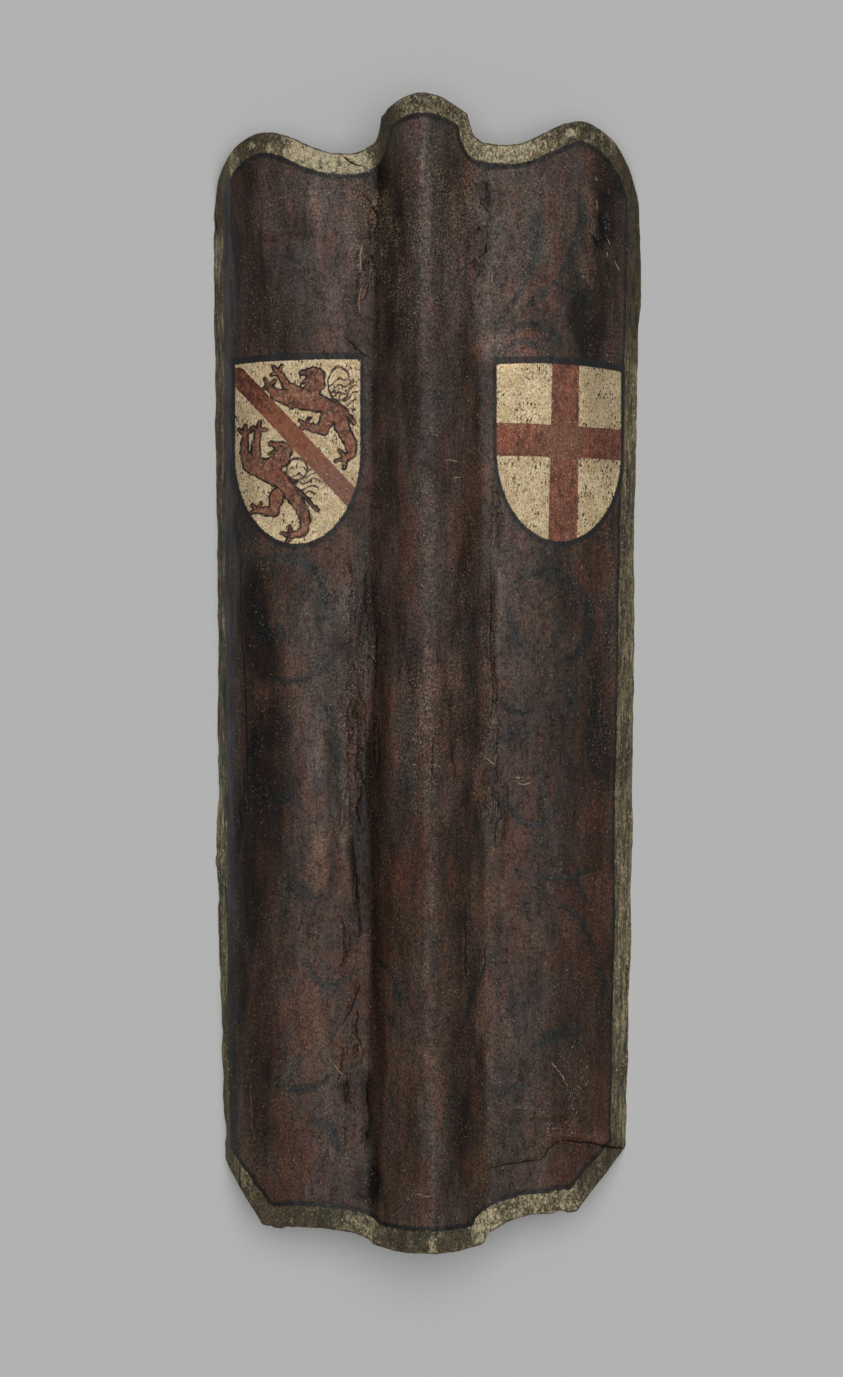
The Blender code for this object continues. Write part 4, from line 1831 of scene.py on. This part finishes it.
    def border_color(self, point: Signal, grain: dict[str, Signal]) -> Signal:
        """Pale olive paint, soiled and rubbed in streaks, with painted shade in its fine furrows.

        Args:
            point: Place on the shield.
            grain: The paint's grains.

        Returns:
            The colour.
        """
        graph = point.graph
        soil = graph.attribute("soil")
        cloud, streaks = self.border_clouds.at(point), self.border_streaks.at(point)
        cloud = soil.onto(-0.16, graph.attribute("long_edge").between(cloud, streaks))
        color = self.border_clouds.cut(cloud).mix(self.border_grime_and_furrow_shade, self.border)
        stain = soil.onto(0.10, self.border_stains.at(point))
        stain = graph.attribute("long_edge").onto(0.04, stain)
        color = color.coat(self.border_stain, self.border_stains.cut(stain), 0.80)
        color = color.coat(self.border_grime_and_furrow_shade, soil.onto(-0.05, grain["Grit"]).step(0.47, 0.33))
        chip = soil.onto(-0.14, self.border_chips.at(point))
        chip = graph.attribute("long_edge").onto(-0.05, chip)
        color = color.coat(self.bare_ground, self.border_chips.cut(chip), 0.85)
        # Fine furrows darkened: painted shade
        color = color.coat(self.border_grime_and_furrow_shade, grain["Furrow"])
        fibre = self.border_fibre.at(stretch(point, (1.0, 0.09, 0.6))).ramp(0.34, 0.66, 0.62, 1.38)
        fibre = fibre * self.border_patches.mask(point).between(0.76, 1.20)
        speckle = grain["Grit"].ramp(0.34, 0.66, 0.62, 1.36)
        amount = graph.attribute("long_edge").between(speckle, fibre)
        tint = graph.attribute("left_side").mix((1.0, 1.0, 1.0), self.greyer)
        return graph.vector("MULTIPLY", color, tint).scaled(amount)

    def marks(self, point: Signal) -> dict[str, Signal]:
        """Masks of what is drawn on the field, of its damage and of painted shade at the top and bottom
        edges.

        Args:
            point: Place on the shield.

        Returns:
            The masks by name.
        """
        value = point.graph.attribute
        band = RaggedBand()
        marks = {"border": band.mask(point, value("border_gap"), 0.0009, 0.0045)}
        marks["contour"] = band.mask(point, value("contour_share"), 0.32, 1.1, end=1.0, start=-9.0) * 0.88
        depth = value("scroll_depth")
        faded = self.scroll_wear.mask(point).between(0.55, 0.95)
        marks["scroll"] = band.mask(point, depth, 0.0026, 0.0050, 120.0) * faded
        for name, gaps in (("crack", 0.35), ("scratch", 0.9)):
            line = {"Point": point, "Across": value(name + "_across"), "Width": value(name + "_width")}
            marks[name] = LineMark().place(point.graph, line | {"Gaps": gaps})["Mask"]
        marks["worn"] = band.mask(point, value("edge_gap"), 0.0012, 0.0060, 120.0, 0.0006) * 0.5
        # Thin dark line at the top and bottom edges, not on the long edges: painted shade
        rim = band.mask(point, value("edge_gap"), 0.0005, 0.0030, end=0.0014)
        ends = 1.0 - value("long_edge")
        marks["rim"] = rim * ends * 0.75
        return marks

    def height(self, grain: dict[str, Signal], marks: dict[str, Signal]) -> Signal:
        """Fine relief: grit, drawn-out wrinkles, thick paint and cracks.

        Args:
            grain: The paint's grains.
            marks: Masks of what is drawn and of the damage.

        Returns:
            The height in metres.
        """
        height = grain["Grit"] * 0.00055
        fold = self.crease(height.graph)
        for part, size in (
            (fold["Crest"], 0.00080),
            (fold["Furrow"], -0.00070),
            (grain["Streak"], 0.00050),
            (grain["Cloud"], 0.00100),
            (grain["Crest"], 0.00022),
            (grain["Furrow"], -0.00022),
            (grain["Pit"], -0.00016),
            (marks["border"], 0.00008),
            (marks["crack"], -0.00090),
        ):
            height = part.onto(size, height)
        return height


@dataclass(frozen=True)
class ArmsShape:
    """Outline of a painted coat of arms in plan, in metres: flat top and round foot."""

    center: float
    half_width: float
    top: float
    shoulder: float
    tip: float
    arch: float = 0.0
    lean: float = 0.0
    margin: float = 0.012

    def covers(self, x: Array, y: Array) -> Array:
        """Whether each place lies within the arms or just outside them."""
        beside = np.abs(x - self.center) < self.half_width + self.margin
        return beside & (y < self.top + self.margin) & (y > self.tip - self.margin)

    def gap(self, point: Signal) -> Signal:
        """Distance from the outline, negative inside.

        Args:
            point: Place on the shield.

        Returns:
            The distance in metres.
        """
        given = {"Point": point, "Center": self.center, "Half Width": self.half_width}
        given |= {"Top": self.top, "Shoulder": self.shoulder, "Tip": self.tip}
        given |= {"Arch": self.arch, "Lean": self.lean}
        return ArmsOutline().place(point.graph, given)["Distance"]


class ArmsOutline(Effect):
    """Distance from the outline of a coat of arms, negative inside it."""

    name = "arms outline"
    inputs = {"Point": "Vector"} | dict.fromkeys(
        ("Center", "Half Width", "Top", "Shoulder", "Tip", "Arch", "Lean"), "Float"
    )
    outputs = {"Distance": "Float"}

    def fill(self, graph: Graph, given: dict[str, Signal]) -> dict[str, Feed]:
        """Writes upright sides that end in half an oval, cut off by the top edge.

        Args:
            graph: Where to write them.
            given: Place on the shield and the sizes of the arms.

        Returns:
            The distance.
        """
        x, y = plan(given["Point"])
        beside = x - given["Center"]
        share = beside / given["Half Width"]
        below = given["Shoulder"] - y
        foot = given["Shoulder"] - given["Tip"]
        down = (below / foot).most(0.0)
        square = share * share
        reach = graph.math("SQRT", down.onto(down, square))
        side = (reach - 1.0) * given["Half Width"]
        line = beside.onto(given["Lean"], given["Top"]) - square * given["Arch"]
        return {"Distance": side.most(y - line)}


@dataclass(frozen=True)
class PaleGround(Effect):
    """Cream paint of the arms, with grime, dark flecks and fine cracks."""

    cream: Color = (0.675, 0.540, 0.335)
    buff: Color = (0.540, 0.395, 0.215)
    grime: Color = (0.170, 0.125, 0.075)
    fleck: Color = (0.022, 0.018, 0.014)

    clouds: Grain = Grain(60.0, 5.0, 0.68, 1.0, 0.34, 0.64)
    dirt: Grain = Grain(640.0, 4.0, 0.72, 0.60, 0.50, 0.63)
    flecks: Grain = Grain(470.0, 3.0, 0.6, 0.42)
    flecked: Grain = Grain(40.0, low=0.40, high=0.62)
    rubs: Grain = Grain(260.0, 4.0, 0.7, 1.0, 0.60, 0.70)
    chips: Grain = Grain(620.0, 1.0, 0.5, 0.75, 0.67, 0.73)

    name = "pale ground"
    inputs = {"Point": "Vector", "Soil": "Float"}
    outputs = {"Color": "Color", "Fleck": "Float", "Wear": "Float"}

    def fill(self, graph: Graph, given: dict[str, Signal]) -> dict[str, Feed]:
        """Writes the ground from its clouds to its flecks.

        Args:
            graph: Not used; the nodes go into the point's graph.
            given: Place on the shield, and how soiled the ground is.

        Returns:
            The colour and the masks of its flecks and its wear.
        """
        point = given["Point"]
        color = self.clouds.mask(point).mix(self.buff, self.cream)
        dirt = given["Soil"].onto(0.16, self.dirt.at(point))
        color = color.coat(self.grime, self.dirt.cut(dirt), 0.62)
        slim = self.flecks.at(point)
        limit = self.flecked.mask(point).between(0.355, 0.438)
        fleck = (limit - slim).step(0.0, 0.030)
        color = color.coat(self.fleck, fleck)
        wear = self.rubs.mask(point) * 0.5
        return {"Color": color, "Fleck": fleck, "Wear": wear.most(self.chips.mask(point))}


def plan(point: Signal) -> tuple[Signal, Signal]:
    """X and Y of a point."""
    outputs = point.graph.node("SeparateXYZ", {"Vector": point}).outputs
    return Signal(point.graph, outputs["X"]), Signal(point.graph, outputs["Y"])


# Half widths of a toe at the wrist and at its tip
TOE_WIDTHS = (0.062, 0.036)


@dataclass(frozen=True)
class Limb:
    """Tapered stroke of the painted lion, in its own units, about two across the figure."""

    ends: Path
    widths: Place


def limbs(*rows: tuple[float, ...]) -> tuple[Limb, ...]:
    """Limbs from rows of X and Y of the start and of the end, and half widths at both."""
    return tuple(Limb((row[:2], row[2:4]), row[4:]) for row in rows)


def paw(wrist: Place, turn: float, spread: float, size: float = 0.20) -> list[tuple[float, ...]]:
    """Three toes.

    Args:
        wrist: Where the toes start.
        turn: Direction of the middle toe, in degrees from the right.
        spread: Angle from one toe to the next, in degrees.
        size: Length of a toe.

    Returns:
        One row of a limb for each toe.
    """
    toes = []
    for angle in (math.radians(turn + step * spread) for step in (-1, 0, 1)):
        tip = (wrist[0] + size * math.cos(angle), wrist[1] + size * math.sin(angle))
        toes.append((*wrist, *tip, *TOE_WIDTHS))
    return toes


@dataclass(frozen=True)
class Oval:
    """Upright oval of the lion's tail: its middle, and its half width and half height."""

    center: Place
    reach: Place


@dataclass(frozen=True)
class LionPose:
    """What differs between the two lions: legs, and the loop and the hair of the tail."""

    legs: tuple[Limb, ...]
    loop: Oval
    hair: Oval


REACHING_LION = LionPose(
    legs=limbs(
        (-0.2, 0.44, -0.52, 0.56, 0.1, 0.1), (-0.52, 0.56, -0.75, 0.9, 0.095, 0.07),
        *paw((-0.75, 0.90), 130.0, 65.0), (-0.46, 0.26, -0.82, 0.37, 0.21, 0.14),
        (-0.82, 0.37, -1.0, 0.58, 0.12, 0.08), *paw((-1.00, 0.58), 120.0, 85.0),
        (0.76, -0.14, 0.84, -0.48, 0.2, 0.175), (0.84, -0.48, 1.04, -0.84, 0.17, 0.145),
        (1.04, -0.84, 1.09, -1.14, 0.145, 0.11), (1.09, -1.14, 0.93, -1.24, 0.105, 0.085),
        *paw((0.93, -1.24), 196.0, 66.0, 0.25), (0.5, -0.2, 0.36, -0.52, 0.19, 0.15),
        (0.36, -0.54, -0.06, -0.44, 0.13, 0.075), *paw((-0.06, -0.44), 140.0, 68.0),
        (0.88, 0.0, 1.14, -0.38, 0.045, 0.05), (0.84, 0.02, 0.62, 0.2, 0.045, 0.035),
    ),
    loop=Oval((0.77, 0.60), (0.27, 0.42)),
    hair=Oval((0.87, 0.44), (0.35, 0.42)),
)

RAISED_LION = LionPose(
    legs=limbs(
        (-0.4, 0.42, -0.53, 0.72, 0.12, 0.105), (-0.53, 0.72, -0.58, 1.12, 0.1, 0.075),
        *paw((-0.58, 1.12), 100.0, 80.0), (-0.5, 0.24, -0.76, 0.5, 0.2, 0.12),
        (-0.76, 0.5, -0.89, 0.92, 0.11, 0.08), *paw((-0.89, 0.92), 105.0, 58.0),
        (0.72, -0.14, 0.98, -0.32, 0.175, 0.15), (0.98, -0.32, 1.28, -0.62, 0.15, 0.115),
        (1.28, -0.62, 1.32, -0.95, 0.115, 0.1), (1.32, -0.95, 1.06, -1.13, 0.1, 0.085),
        *paw((1.06, -1.13), 185.0, 70.0, 0.24), (0.4, -0.3, 0.44, -0.62, 0.18, 0.14),
        (0.44, -0.7, 0.04, -0.8, 0.13, 0.08), *paw((0.04, -0.80), 150.0, 70.0),
        (0.8, 0.02, 1.48, -0.32, 0.034, 0.038), (0.7, 0.04, 0.76, 0.22, 0.035, 0.03),
    ),
    loop=Oval((0.66, 0.48), (0.26, 0.27)),
    hair=Oval((0.96, 0.18), (0.38, 0.44)),
)

LION_BODY = limbs(
    (0.16, 0.8, 0.2, 0.62, 0.215, 0.205), (0.26, 0.84, 0.28, 0.68, 0.15, 0.13),
    (0.16, 0.52, -0.04, 0.3, 0.18, 0.23), (0.0, 0.9, -0.18, 0.88, 0.085, 0.05),
    (0.0, 0.7, -0.12, 0.65, 0.055, 0.035), (-0.36, 0.26, 0.16, 0.16, 0.25, 0.235),
    (0.16, 0.16, 0.64, -0.04, 0.235, 0.155),
)

LION_LINES = limbs(
    (-0.08, 0.79, 0.06, 0.76, 0.014, 0.012), (0.09, 0.88, 0.13, 0.88, 0.03, 0.026),
    (0.28, 1.0, 0.17, 0.8, 0.008, 0.012), (0.17, 0.8, 0.2, 0.56, 0.012, 0.006),
    (-0.06, 0.5, 0.06, 0.36, 0.008, 0.01), (0.24, -0.08, 0.48, -0.13, 0.018, 0.012),
)


class LionFigure(Effect):
    """A generic heraldic lion that rears to the left, drawn with strokes in one of two poses."""

    name = "lion figure"
    inputs = {"Point": "Vector", "Raised": "Float"}
    outputs = {"Body": "Float", "Lines": "Float", "Tail": "Float"}

    def strokes(self, point: Signal, parts: Sequence[Limb], before: Feed = 9.0) -> Signal:
        """Distance to the nearest of some limbs or to what came before.

        Args:
            point: Place in the lion's own units.
            parts: The limbs.
            before: Distance to what came before.

        Returns:
            The distance, negative inside.
        """
        for limb in parts:
            before = BrushStroke().draw(point, limb.ends, limb.widths, before)
        return before

    def fill(self, graph: Graph, given: dict[str, Signal]) -> dict[str, Feed]:
        """Writes the body with its forelegs, its inner lines and the looped tail with its hair.

        Args:
            graph: Where to write them.
            given: Place in the lion's own units, and 0 or 1 for its pose.

        Returns:
            Distances to the body, the lines and the tail.
        """
        shake = graph.signal("TexNoise", "Color", {"Vector": given["Point"], "Scale": 6.5, "Detail": 3.0})
        shake = graph.vector("SUBTRACT", shake, (0.5, 0.5, 0.5))
        point = graph.vector("MULTIPLY_ADD", shake, (0.110, 0.110, 0.0), given["Point"])
        raised = given["Raised"]
        poses = REACHING_LION, RAISED_LION
        legs = raised.between(*(self.strokes(point, pose.legs) for pose in poses))
        body = self.strokes(point, LION_BODY, legs)
        lines = self.strokes(point, LION_LINES)
        loop = self.oval(point, raised, [pose.loop for pose in poses])
        brush = self.oval(point, raised, [pose.hair for pose in poses])
        x, y = plan(point)
        wave = graph.math("SINE", x * 15.0)
        rise = x.onto(-0.45, y)
        hair = graph.math("PINGPONG", wave.onto(0.055, rise), 0.085)
        hair = (hair - 0.026).most(brush)
        return {"Body": body, "Lines": lines, "Tail": hair.least(abs(loop) - 0.032)}

    def oval(self, point: Signal, raised: Signal, ovals: Sequence[Oval]) -> Signal:
        """Rough distance to the outline of the chosen oval.

        Args:
            point: Place in the lion's own units.
            raised: 0 for the first oval, 1 for the second.
            ovals: The two ovals.

        Returns:
            The distance in the lion's own units, negative inside.
        """
        vector = point.graph.vector
        center = raised.mix(*((*oval.center, 0.0) for oval in ovals), "VECTOR")
        sizes = raised.mix(*((1.0 / oval.reach[0], 1.0 / oval.reach[1], 0.0) for oval in ovals), "VECTOR")
        away = vector("MULTIPLY", vector("SUBTRACT", point, center), sizes)
        away = vector("LENGTH", away) - 1.0
        return away * raised.between(*(sum(oval.reach) / 2.0 for oval in ovals))


class PaintedSurface:
    """Common ground of every finish: a soft gloss over a bumpy surface."""

    name = ""
    specular = 0.20

    def lay(self, graph: Graph, shader: bpy.types.Node) -> None:
        """Writes the finish into a material.

        Args:
            graph: The material's graph.
            shader: Its Principled BSDF.
        """
        raise NotImplementedError

    def material(self) -> bpy.types.Material:
        """Builds the finish.

        Returns:
            Its material.
        """
        material = bpy.data.materials.new(self.name)
        material.use_nodes = True
        material.node_tree.nodes.clear()
        graph = Graph(material.node_tree)
        shader = graph.node("BsdfPrincipled", {"Specular IOR Level": self.specular})
        graph.node("OutputMaterial", {"Surface": Signal(graph, shader.outputs["BSDF"])})
        self.lay(graph, shader)
        return material

    def close(self, shader: bpy.types.Node, color: Signal, rough: Feed, height: Signal) -> None:
        """Feeds the shader.

        Args:
            shader: The material's Principled BSDF.
            color: The colour.
            rough: The roughness.
            height: The fine relief, in metres.
        """
        graph = color.graph
        bump = graph.signal("Bump", "Normal", {"Strength": 1.0, "Distance": 1.0, "Height": height})
        for name, value in (("Base Color", color), ("Roughness", rough), ("Normal", bump)):
            graph.feed(shader.inputs[name], value)


@dataclass(frozen=True)
class FieldFinish(PaintedSurface):
    """The shield's dark painted field."""

    paint: FieldPaint = FieldPaint()

    name = "painted_field"

    def lay(self, graph: Graph, shader: bpy.types.Node) -> None:
        """Writes the finish into a material."""
        self.close(shader, *self.paint.place(graph).values())


@dataclass(frozen=True)
class ArmsFinish(PaintedSurface):
    """Field with a coat of arms on it: pale ground, its charges and a dark outline."""

    shape: ArmsShape
    paint: FieldPaint = FieldPaint()
    ground: PaleGround = PaleGround()
    grit: Grain = Grain(700.0, 3.0, 0.62, 0.7)
    outline: Color = (0.0105, 0.0120, 0.0130)
    outline_width: float = 0.0044
    top_extra: float = 0.0036
    soil: float = 0.3

    def charges(self, point: Signal, color: Signal, wear: Signal) -> Signal:
        """Paints what the arms bear over their ground.

        Args:
            point: Place on the shield.
            color: Colour of the ground.
            wear: Mask of the worn paint.

        Returns:
            The colour with the charges.
        """
        raise NotImplementedError

    def lay(self, graph: Graph, shader: bpy.types.Node) -> None:
        """Writes the finish into a material.

        Args:
            graph: The material's graph.
            shader: Its Principled BSDF.
        """
        point = graph.point()
        field_paint = self.paint.place(graph)
        gap = self.shape.gap(point)
        band = RaggedBand()
        inside = band.mask(point, gap, 0.0005, 0.0018, 260.0)
        low_gap = self.shape.gap(graph.vector("SUBTRACT", point, (0.0, self.top_extra, 0.0)))
        around = band.mask(point, gap.least(low_gap), 0.0011, 0.0018, 260.0, self.outline_width)
        ground = self.ground.place(graph, {"Point": point, "Soil": self.soil})
        color = self.charges(point, ground["Color"], ground["Wear"])
        # Broad tone patches over the arms too: the paint's own tone together with painted shade and
        # highlight
        tone = graph.attribute("tone").onto(0.5, 1.0)
        color = color.scaled(tone * self.grit.at(point).ramp(0.3, 0.7, 0.79, 1.18))
        color = inside.mix(field_paint["Color"].coat(self.outline, around, 0.84), color)
        rough = inside.between(field_paint["Roughness"], 0.62)
        flecked = ground["Fleck"] * inside
        height = inside.onto(0.00007, flecked.onto(-0.00010, field_paint["Height"]))
        self.close(shader, color, rough, height)


@dataclass(frozen=True)
class LionArmsFinish(ArmsFinish):
    """Arms with a red bend between two lions."""

    lion: Color = (0.1280, 0.0520, 0.0300)
    lion_light: Color = (0.3100, 0.1500, 0.0900)
    lion_red: Color = (0.2150, 0.0600, 0.0400)
    lion_dark: Color = (0.0680, 0.0320, 0.0260)
    tail: Color = (0.0560, 0.0260, 0.0210)
    line: Color = (0.0110, 0.0080, 0.0070)
    bend: Color = (0.2150, 0.0770, 0.0400)
    bend_dark: Color = (0.0800, 0.0185, 0.0125)
    bend_pale: Color = (0.1700, 0.0900, 0.0720)
    bend_ends: Path = ((-0.2140, 0.3365), (-0.0835, 0.1960))
    bend_widths: Place = (0.0102, 0.0104)
    upper_lion: Place = (-0.1330, 0.2975)
    lower_lion: Place = (-0.1810, 0.2185)
    lion_unit: float = 0.0450
    lower_turn: float = -19.0
    patches: Grain = Grain(150.0, 3.0, 0.5, 1.0, 0.34, 0.56)
    lights: Grain = Grain(210.0, 5.0, 0.74, 1.0, 0.40, 0.62)
    darks: Grain = Grain(75.0, 4.0, 0.66, 1.0, 0.48, 0.60)
    reds: Grain = Grain(48.0, 3.0, 0.6, 1.0, 0.50, 0.60)
    spots: Grain = Grain(430.0, 3.0, 0.5, 0.4, 0.53, 0.66)
    bend_clouds: Grain = Grain(120.0, 5.0, 0.7, 1.0, 0.46, 0.70)

    name = "arms_with_lions"

    def local(self, point: Signal, origin: Place, turn: float) -> Signal:
        """Place in a lion's own units.

        Args:
            point: Place on the shield, flat.
            origin: The lion's middle.
            turn: How far it is turned, in degrees.

        Returns:
            The place.
        """
        given = {"Vector": point, "Location": (*origin, 0.0)}
        given |= {"Rotation": (0.0, 0.0, math.radians(turn)), "Scale": (self.lion_unit,) * 3}
        return point.graph.signal("Mapping", "Vector", given, vector_type="TEXTURE")

    def charges(self, point: Signal, color: Signal, wear: Signal) -> Signal:
        """Paints the two lions and the bend between them.

        Args:
            point: Place on the shield.
            color: Colour of the ground.
            wear: Mask of the worn paint.

        Returns:
            The colour with the charges.
        """
        vector = point.graph.vector
        flat = stretch(point, (1.0, 1.0, 0.0))
        start = (*self.bend_ends[0], 0.0)
        leg = np.array(self.bend_ends[1]) - np.array(self.bend_ends[0])
        across = (-leg[1] / np.hypot(*leg), leg[0] / np.hypot(*leg), 0.0)
        offset = vector("DOT_PRODUCT", vector("SUBTRACT", flat, start), across)
        bend = BrushStroke().draw(flat, self.bend_ends, self.bend_widths, 1.0)
        color = self.lions(point, flat, point.graph.math("GREATER_THAN", offset, 0.0), color, wear)
        cloud = self.bend_clouds.at(point)
        along = vector("DISTANCE", flat, start)
        cloud = along.step(0.02, 0.08).onto(0.20, cloud)
        red = self.bend_clouds.cut(cloud).mix(self.bend_dark, self.bend)
        red = red.coat(self.bend_pale, along.step(0.10, 0.17), 0.60).coat(color, wear, 0.50)
        return color.coat(red, RaggedBand().mask(point, bend, 0.0004, 0.0014, 240.0))

    def lions(self, point: Signal, flat: Signal, above: Signal, color: Signal, wear: Signal) -> Signal:
        """Paints a lion on each side of the bend.

        Args:
            point: Place on the shield.
            flat: The same place without its height.
            above: 1 above the bend, 0 below it.
            color: Colour of the ground.
            wear: Mask of the worn paint.

        Returns:
            The colour with the lions.
        """
        lower = self.local(flat, self.lower_lion, self.lower_turn)
        upper = self.local(flat, self.upper_lion, 0.0)
        given = {"Point": above.mix(lower, upper, "VECTOR"), "Raised": 1.0 - above}
        figure = LionFigure().place(point.graph, given)
        fill = 1.0 - figure["Body"].step(-0.008, 0.008)
        drawn = (abs(figure["Body"]) - 0.024).least(figure["Lines"])
        patchy = self.patches.mask(point).between(0.70, 1.00)
        drawn = (1.0 - drawn.step(-0.010, 0.014)) * patchy
        tint = self.lights.mask(point).mix(self.lion, self.lion_light)
        tint = tint.coat(self.lion_dark, self.darks.mask(point), 0.70)
        tint = tint.coat(self.lion_red, self.reds.mask(point), 0.55)
        tint = tint.coat(self.line, self.spots.mask(point), 0.5)
        tint = tint.coat(color, wear, 0.60)
        tail = (1.0 - figure["Tail"].step(-0.014, 0.016)) * patchy
        return color.coat(self.tail, tail).coat(tint, fill).coat(self.line, drawn)


@dataclass(frozen=True)
class CrossArmsFinish(ArmsFinish):
    """Arms with a plain red cross."""

    red: Color = (0.2000, 0.0800, 0.0480)
    red_dark: Color = (0.0950, 0.0330, 0.0220)
    red_bright: Color = (0.3300, 0.0850, 0.0500)
    rubbed: Color = (0.1650, 0.0820, 0.0450)
    bars: tuple[tuple[Path, Place], ...] = (
        (((0.0700, 0.2628), (0.2300, 0.2592)), (0.0186, 0.0174)),
        (((0.1560, 0.3600), (0.1520, 0.1300)), (0.0152, 0.0168)),
    )
    bright_end: Place = (0.0830, 0.2620)
    bright_reach: float = 0.022
    middle: Place = (0.1540, 0.2610)
    middle_reach: float = 0.034
    clouds: Grain = Grain(150.0, 5.0, 0.72, 0.5, 0.36, 0.64)
    lively: Grain = Grain(170.0, 4.0, 0.65, 0.25, 0.55, 0.68)
    mottle: Grain = Grain(620.0, 4.0, 0.75, 0.7)

    name = "arms_with_cross"

    def spot(self, flat: Signal, center: Place, reach: float) -> Signal:
        """Soft round mask about a place."""
        gap = flat.graph.vector("DISTANCE", flat, (*center, 0.0))
        return 1.0 - gap.step(reach * 0.3, reach)

    def charges(self, point: Signal, color: Signal, wear: Signal) -> Signal:
        """Paints the cross, brighter at its left end and rubbed in the middle.

        Args:
            point: Place on the shield.
            color: Colour of the ground.
            wear: Mask of the worn paint.

        Returns:
            The colour with the charges.
        """
        flat = stretch(point, (1.0, 1.0, 0.0))
        distance: Feed = 1.0
        for ends, widths in self.bars:
            distance = BrushStroke().draw(flat, ends, widths, distance)
        red = self.clouds.mask(point).mix(self.red_dark, self.red)
        red = red.coat(self.red_bright, self.lively.mask(point), 0.7)
        red = red.coat(self.red_bright, self.spot(flat, self.bright_end, self.bright_reach), 0.35)
        red = red.coat(self.rubbed, self.spot(flat, self.middle, self.middle_reach), 0.70)
        red = red.scaled(self.mottle.at(point).ramp(0.36, 0.66, 0.55, 1.60)).coat(color, wear, 0.80)
        return color.coat(red, RaggedBand().mask(point, distance, 0.0005, 0.0016, 240.0))


@dataclass(frozen=True)
class BackFinish(PaintedSurface):
    """Bare aged wood of the back and the rim, its grain up the shield."""

    wood: Color = (0.150, 0.088, 0.046)
    wood_dark: Color = (0.052, 0.030, 0.017)
    grime: Color = (0.030, 0.021, 0.015)
    fibre: Color = (0.230, 0.160, 0.095)
    fine: Grain = Grain(210.0, 6.0, 0.62, 1.0, 0.55, 0.72)
    broad: Grain = Grain(38.0, 3.0, 0.55)
    dirt: Grain = Grain(16.0, 5.0, 0.62, 1.0, 0.42, 0.62)
    drawn_out: float = 0.035

    name = "bare_wood"

    def lay(self, graph: Graph, shader: bpy.types.Node) -> None:
        """Writes the finish into a material.

        Args:
            graph: The material's graph.
            shader: Its Principled BSDF.
        """
        point = graph.point()
        drawn = stretch(point, (1.0, self.drawn_out, 1.0))
        grain, broad = self.fine.at(drawn), self.broad.at(drawn)
        rings = graph.math("SINE", broad.onto(70.0, grain * 5.0))
        color = rings.step(-0.9, 0.9).mix(self.wood_dark, self.wood)
        color = color.coat(self.fibre, self.fine.cut(grain), 0.6)
        color = color.coat(self.grime, self.dirt.mask(point), 0.7)
        rough = grain.between(0.66, 0.84)
        self.close(shader, color, rough, rings.onto(0.00012, grain * 0.0006))


@dataclass(frozen=True)
class FloorFinish(PaintedSurface):
    """Plain matt floor."""

    color: Color = (0.452, 0.452, 0.452)

    name = "pale_floor"
    specular = 0.0

    def lay(self, graph: Graph, shader: bpy.types.Node) -> None:
        """Writes the finish into a material."""
        graph.feed(shader.inputs["Roughness"], 1.0)
        graph.feed(shader.inputs["Base Color"], self.color)


@dataclass(frozen=True)
class Studio:
    """Plain floor, soft light from above and the camera that looks straight down."""

    floor_reach: float = 4.0
    sun_power: float = 2.65
    sun_angle: float = 66.0
    sun_tilt: Place = (5.0, 8.0)
    sky: float = 0.16
    image_size: tuple[int, int] = (843, 1377)
    focal_pixels: float = 3592.0
    sensor: float = 36.0
    camera_place: tuple[float, float, float] = (-0.0062, -0.01635, 4.1)

    def floor(self) -> bpy.types.Object:
        """Adds the floor, which isn't part of the shield.

        Returns:
            Its object.
        """
        mesh = bpy.data.meshes.new("floor")
        reach = self.floor_reach
        corners = [(-reach, -reach, 0.0), (reach, -reach, 0.0), (reach, reach, 0.0), (-reach, reach, 0.0)]
        mesh.from_pydata(corners, [], [(0, 1, 2, 3)])
        mesh.materials.append(FloorFinish().material())
        floor = bpy.data.objects.new("floor", mesh)
        bpy.context.scene.collection.objects.link(floor)
        return floor

    def light(self) -> None:
        """Adds the soft key light and the faint light all round."""
        sun = bpy.data.lights.new("soft key", "SUN")
        sun.energy = self.sun_power
        sun.angle = math.radians(self.sun_angle)
        key = bpy.data.objects.new("soft key", sun)
        right, up = self.sun_tilt
        key.rotation_euler = (-math.radians(up), math.radians(right), 0.0)
        bpy.context.scene.collection.objects.link(key)
        world = bpy.data.worlds.new("studio")
        world.use_nodes = True
        background = world.node_tree.nodes["Background"]
        background.inputs["Color"].default_value = (1.0, 1.0, 1.0, 1.0)
        background.inputs["Strength"].default_value = self.sky
        bpy.context.scene.world = world

    def camera(self) -> None:
        """Adds the camera over the shield, with the top of the shield up."""
        lens = bpy.data.cameras.new("camera")
        lens.sensor_width = self.sensor
        lens.lens = self.focal_pixels / max(self.image_size) * self.sensor
        camera = bpy.data.objects.new("camera", lens)
        camera.location = self.camera_place
        bpy.context.scene.collection.objects.link(camera)
        bpy.context.scene.camera = camera
        bpy.context.scene.view_settings.view_transform = "Standard"


def main() -> None:
    """Builds the studio and the shield."""
    logging.basicConfig(level=logging.INFO, format="%(name)s: %(message)s")
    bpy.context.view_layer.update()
    studio = Studio()
    studio.floor()
    studio.light()
    studio.camera()

    lion_arms = ArmsShape(-0.1460, 0.0710, 0.3515, 0.2480, 0.1460, arch=0.0005, lean=0.014)
    cross_arms = ArmsShape(0.1490, 0.0710, 0.3475, 0.2510, 0.1490, arch=0.0035, lean=-0.028)
    arms = {Finish.LIONS: lion_arms, Finish.CROSS: cross_arms}
    shield = PaintedShield(BoardForm(), arms)
    piece = shield.build()
    finishes = {
        Finish.FIELD: FieldFinish().material(),
        Finish.LIONS: LionArmsFinish(lion_arms).material(),
        Finish.CROSS: CrossArmsFinish(cross_arms).material(),
        Finish.BACK: BackFinish().material(),
    }
    shield.dress(piece, finishes)


if __name__ == "__main__":
    main()
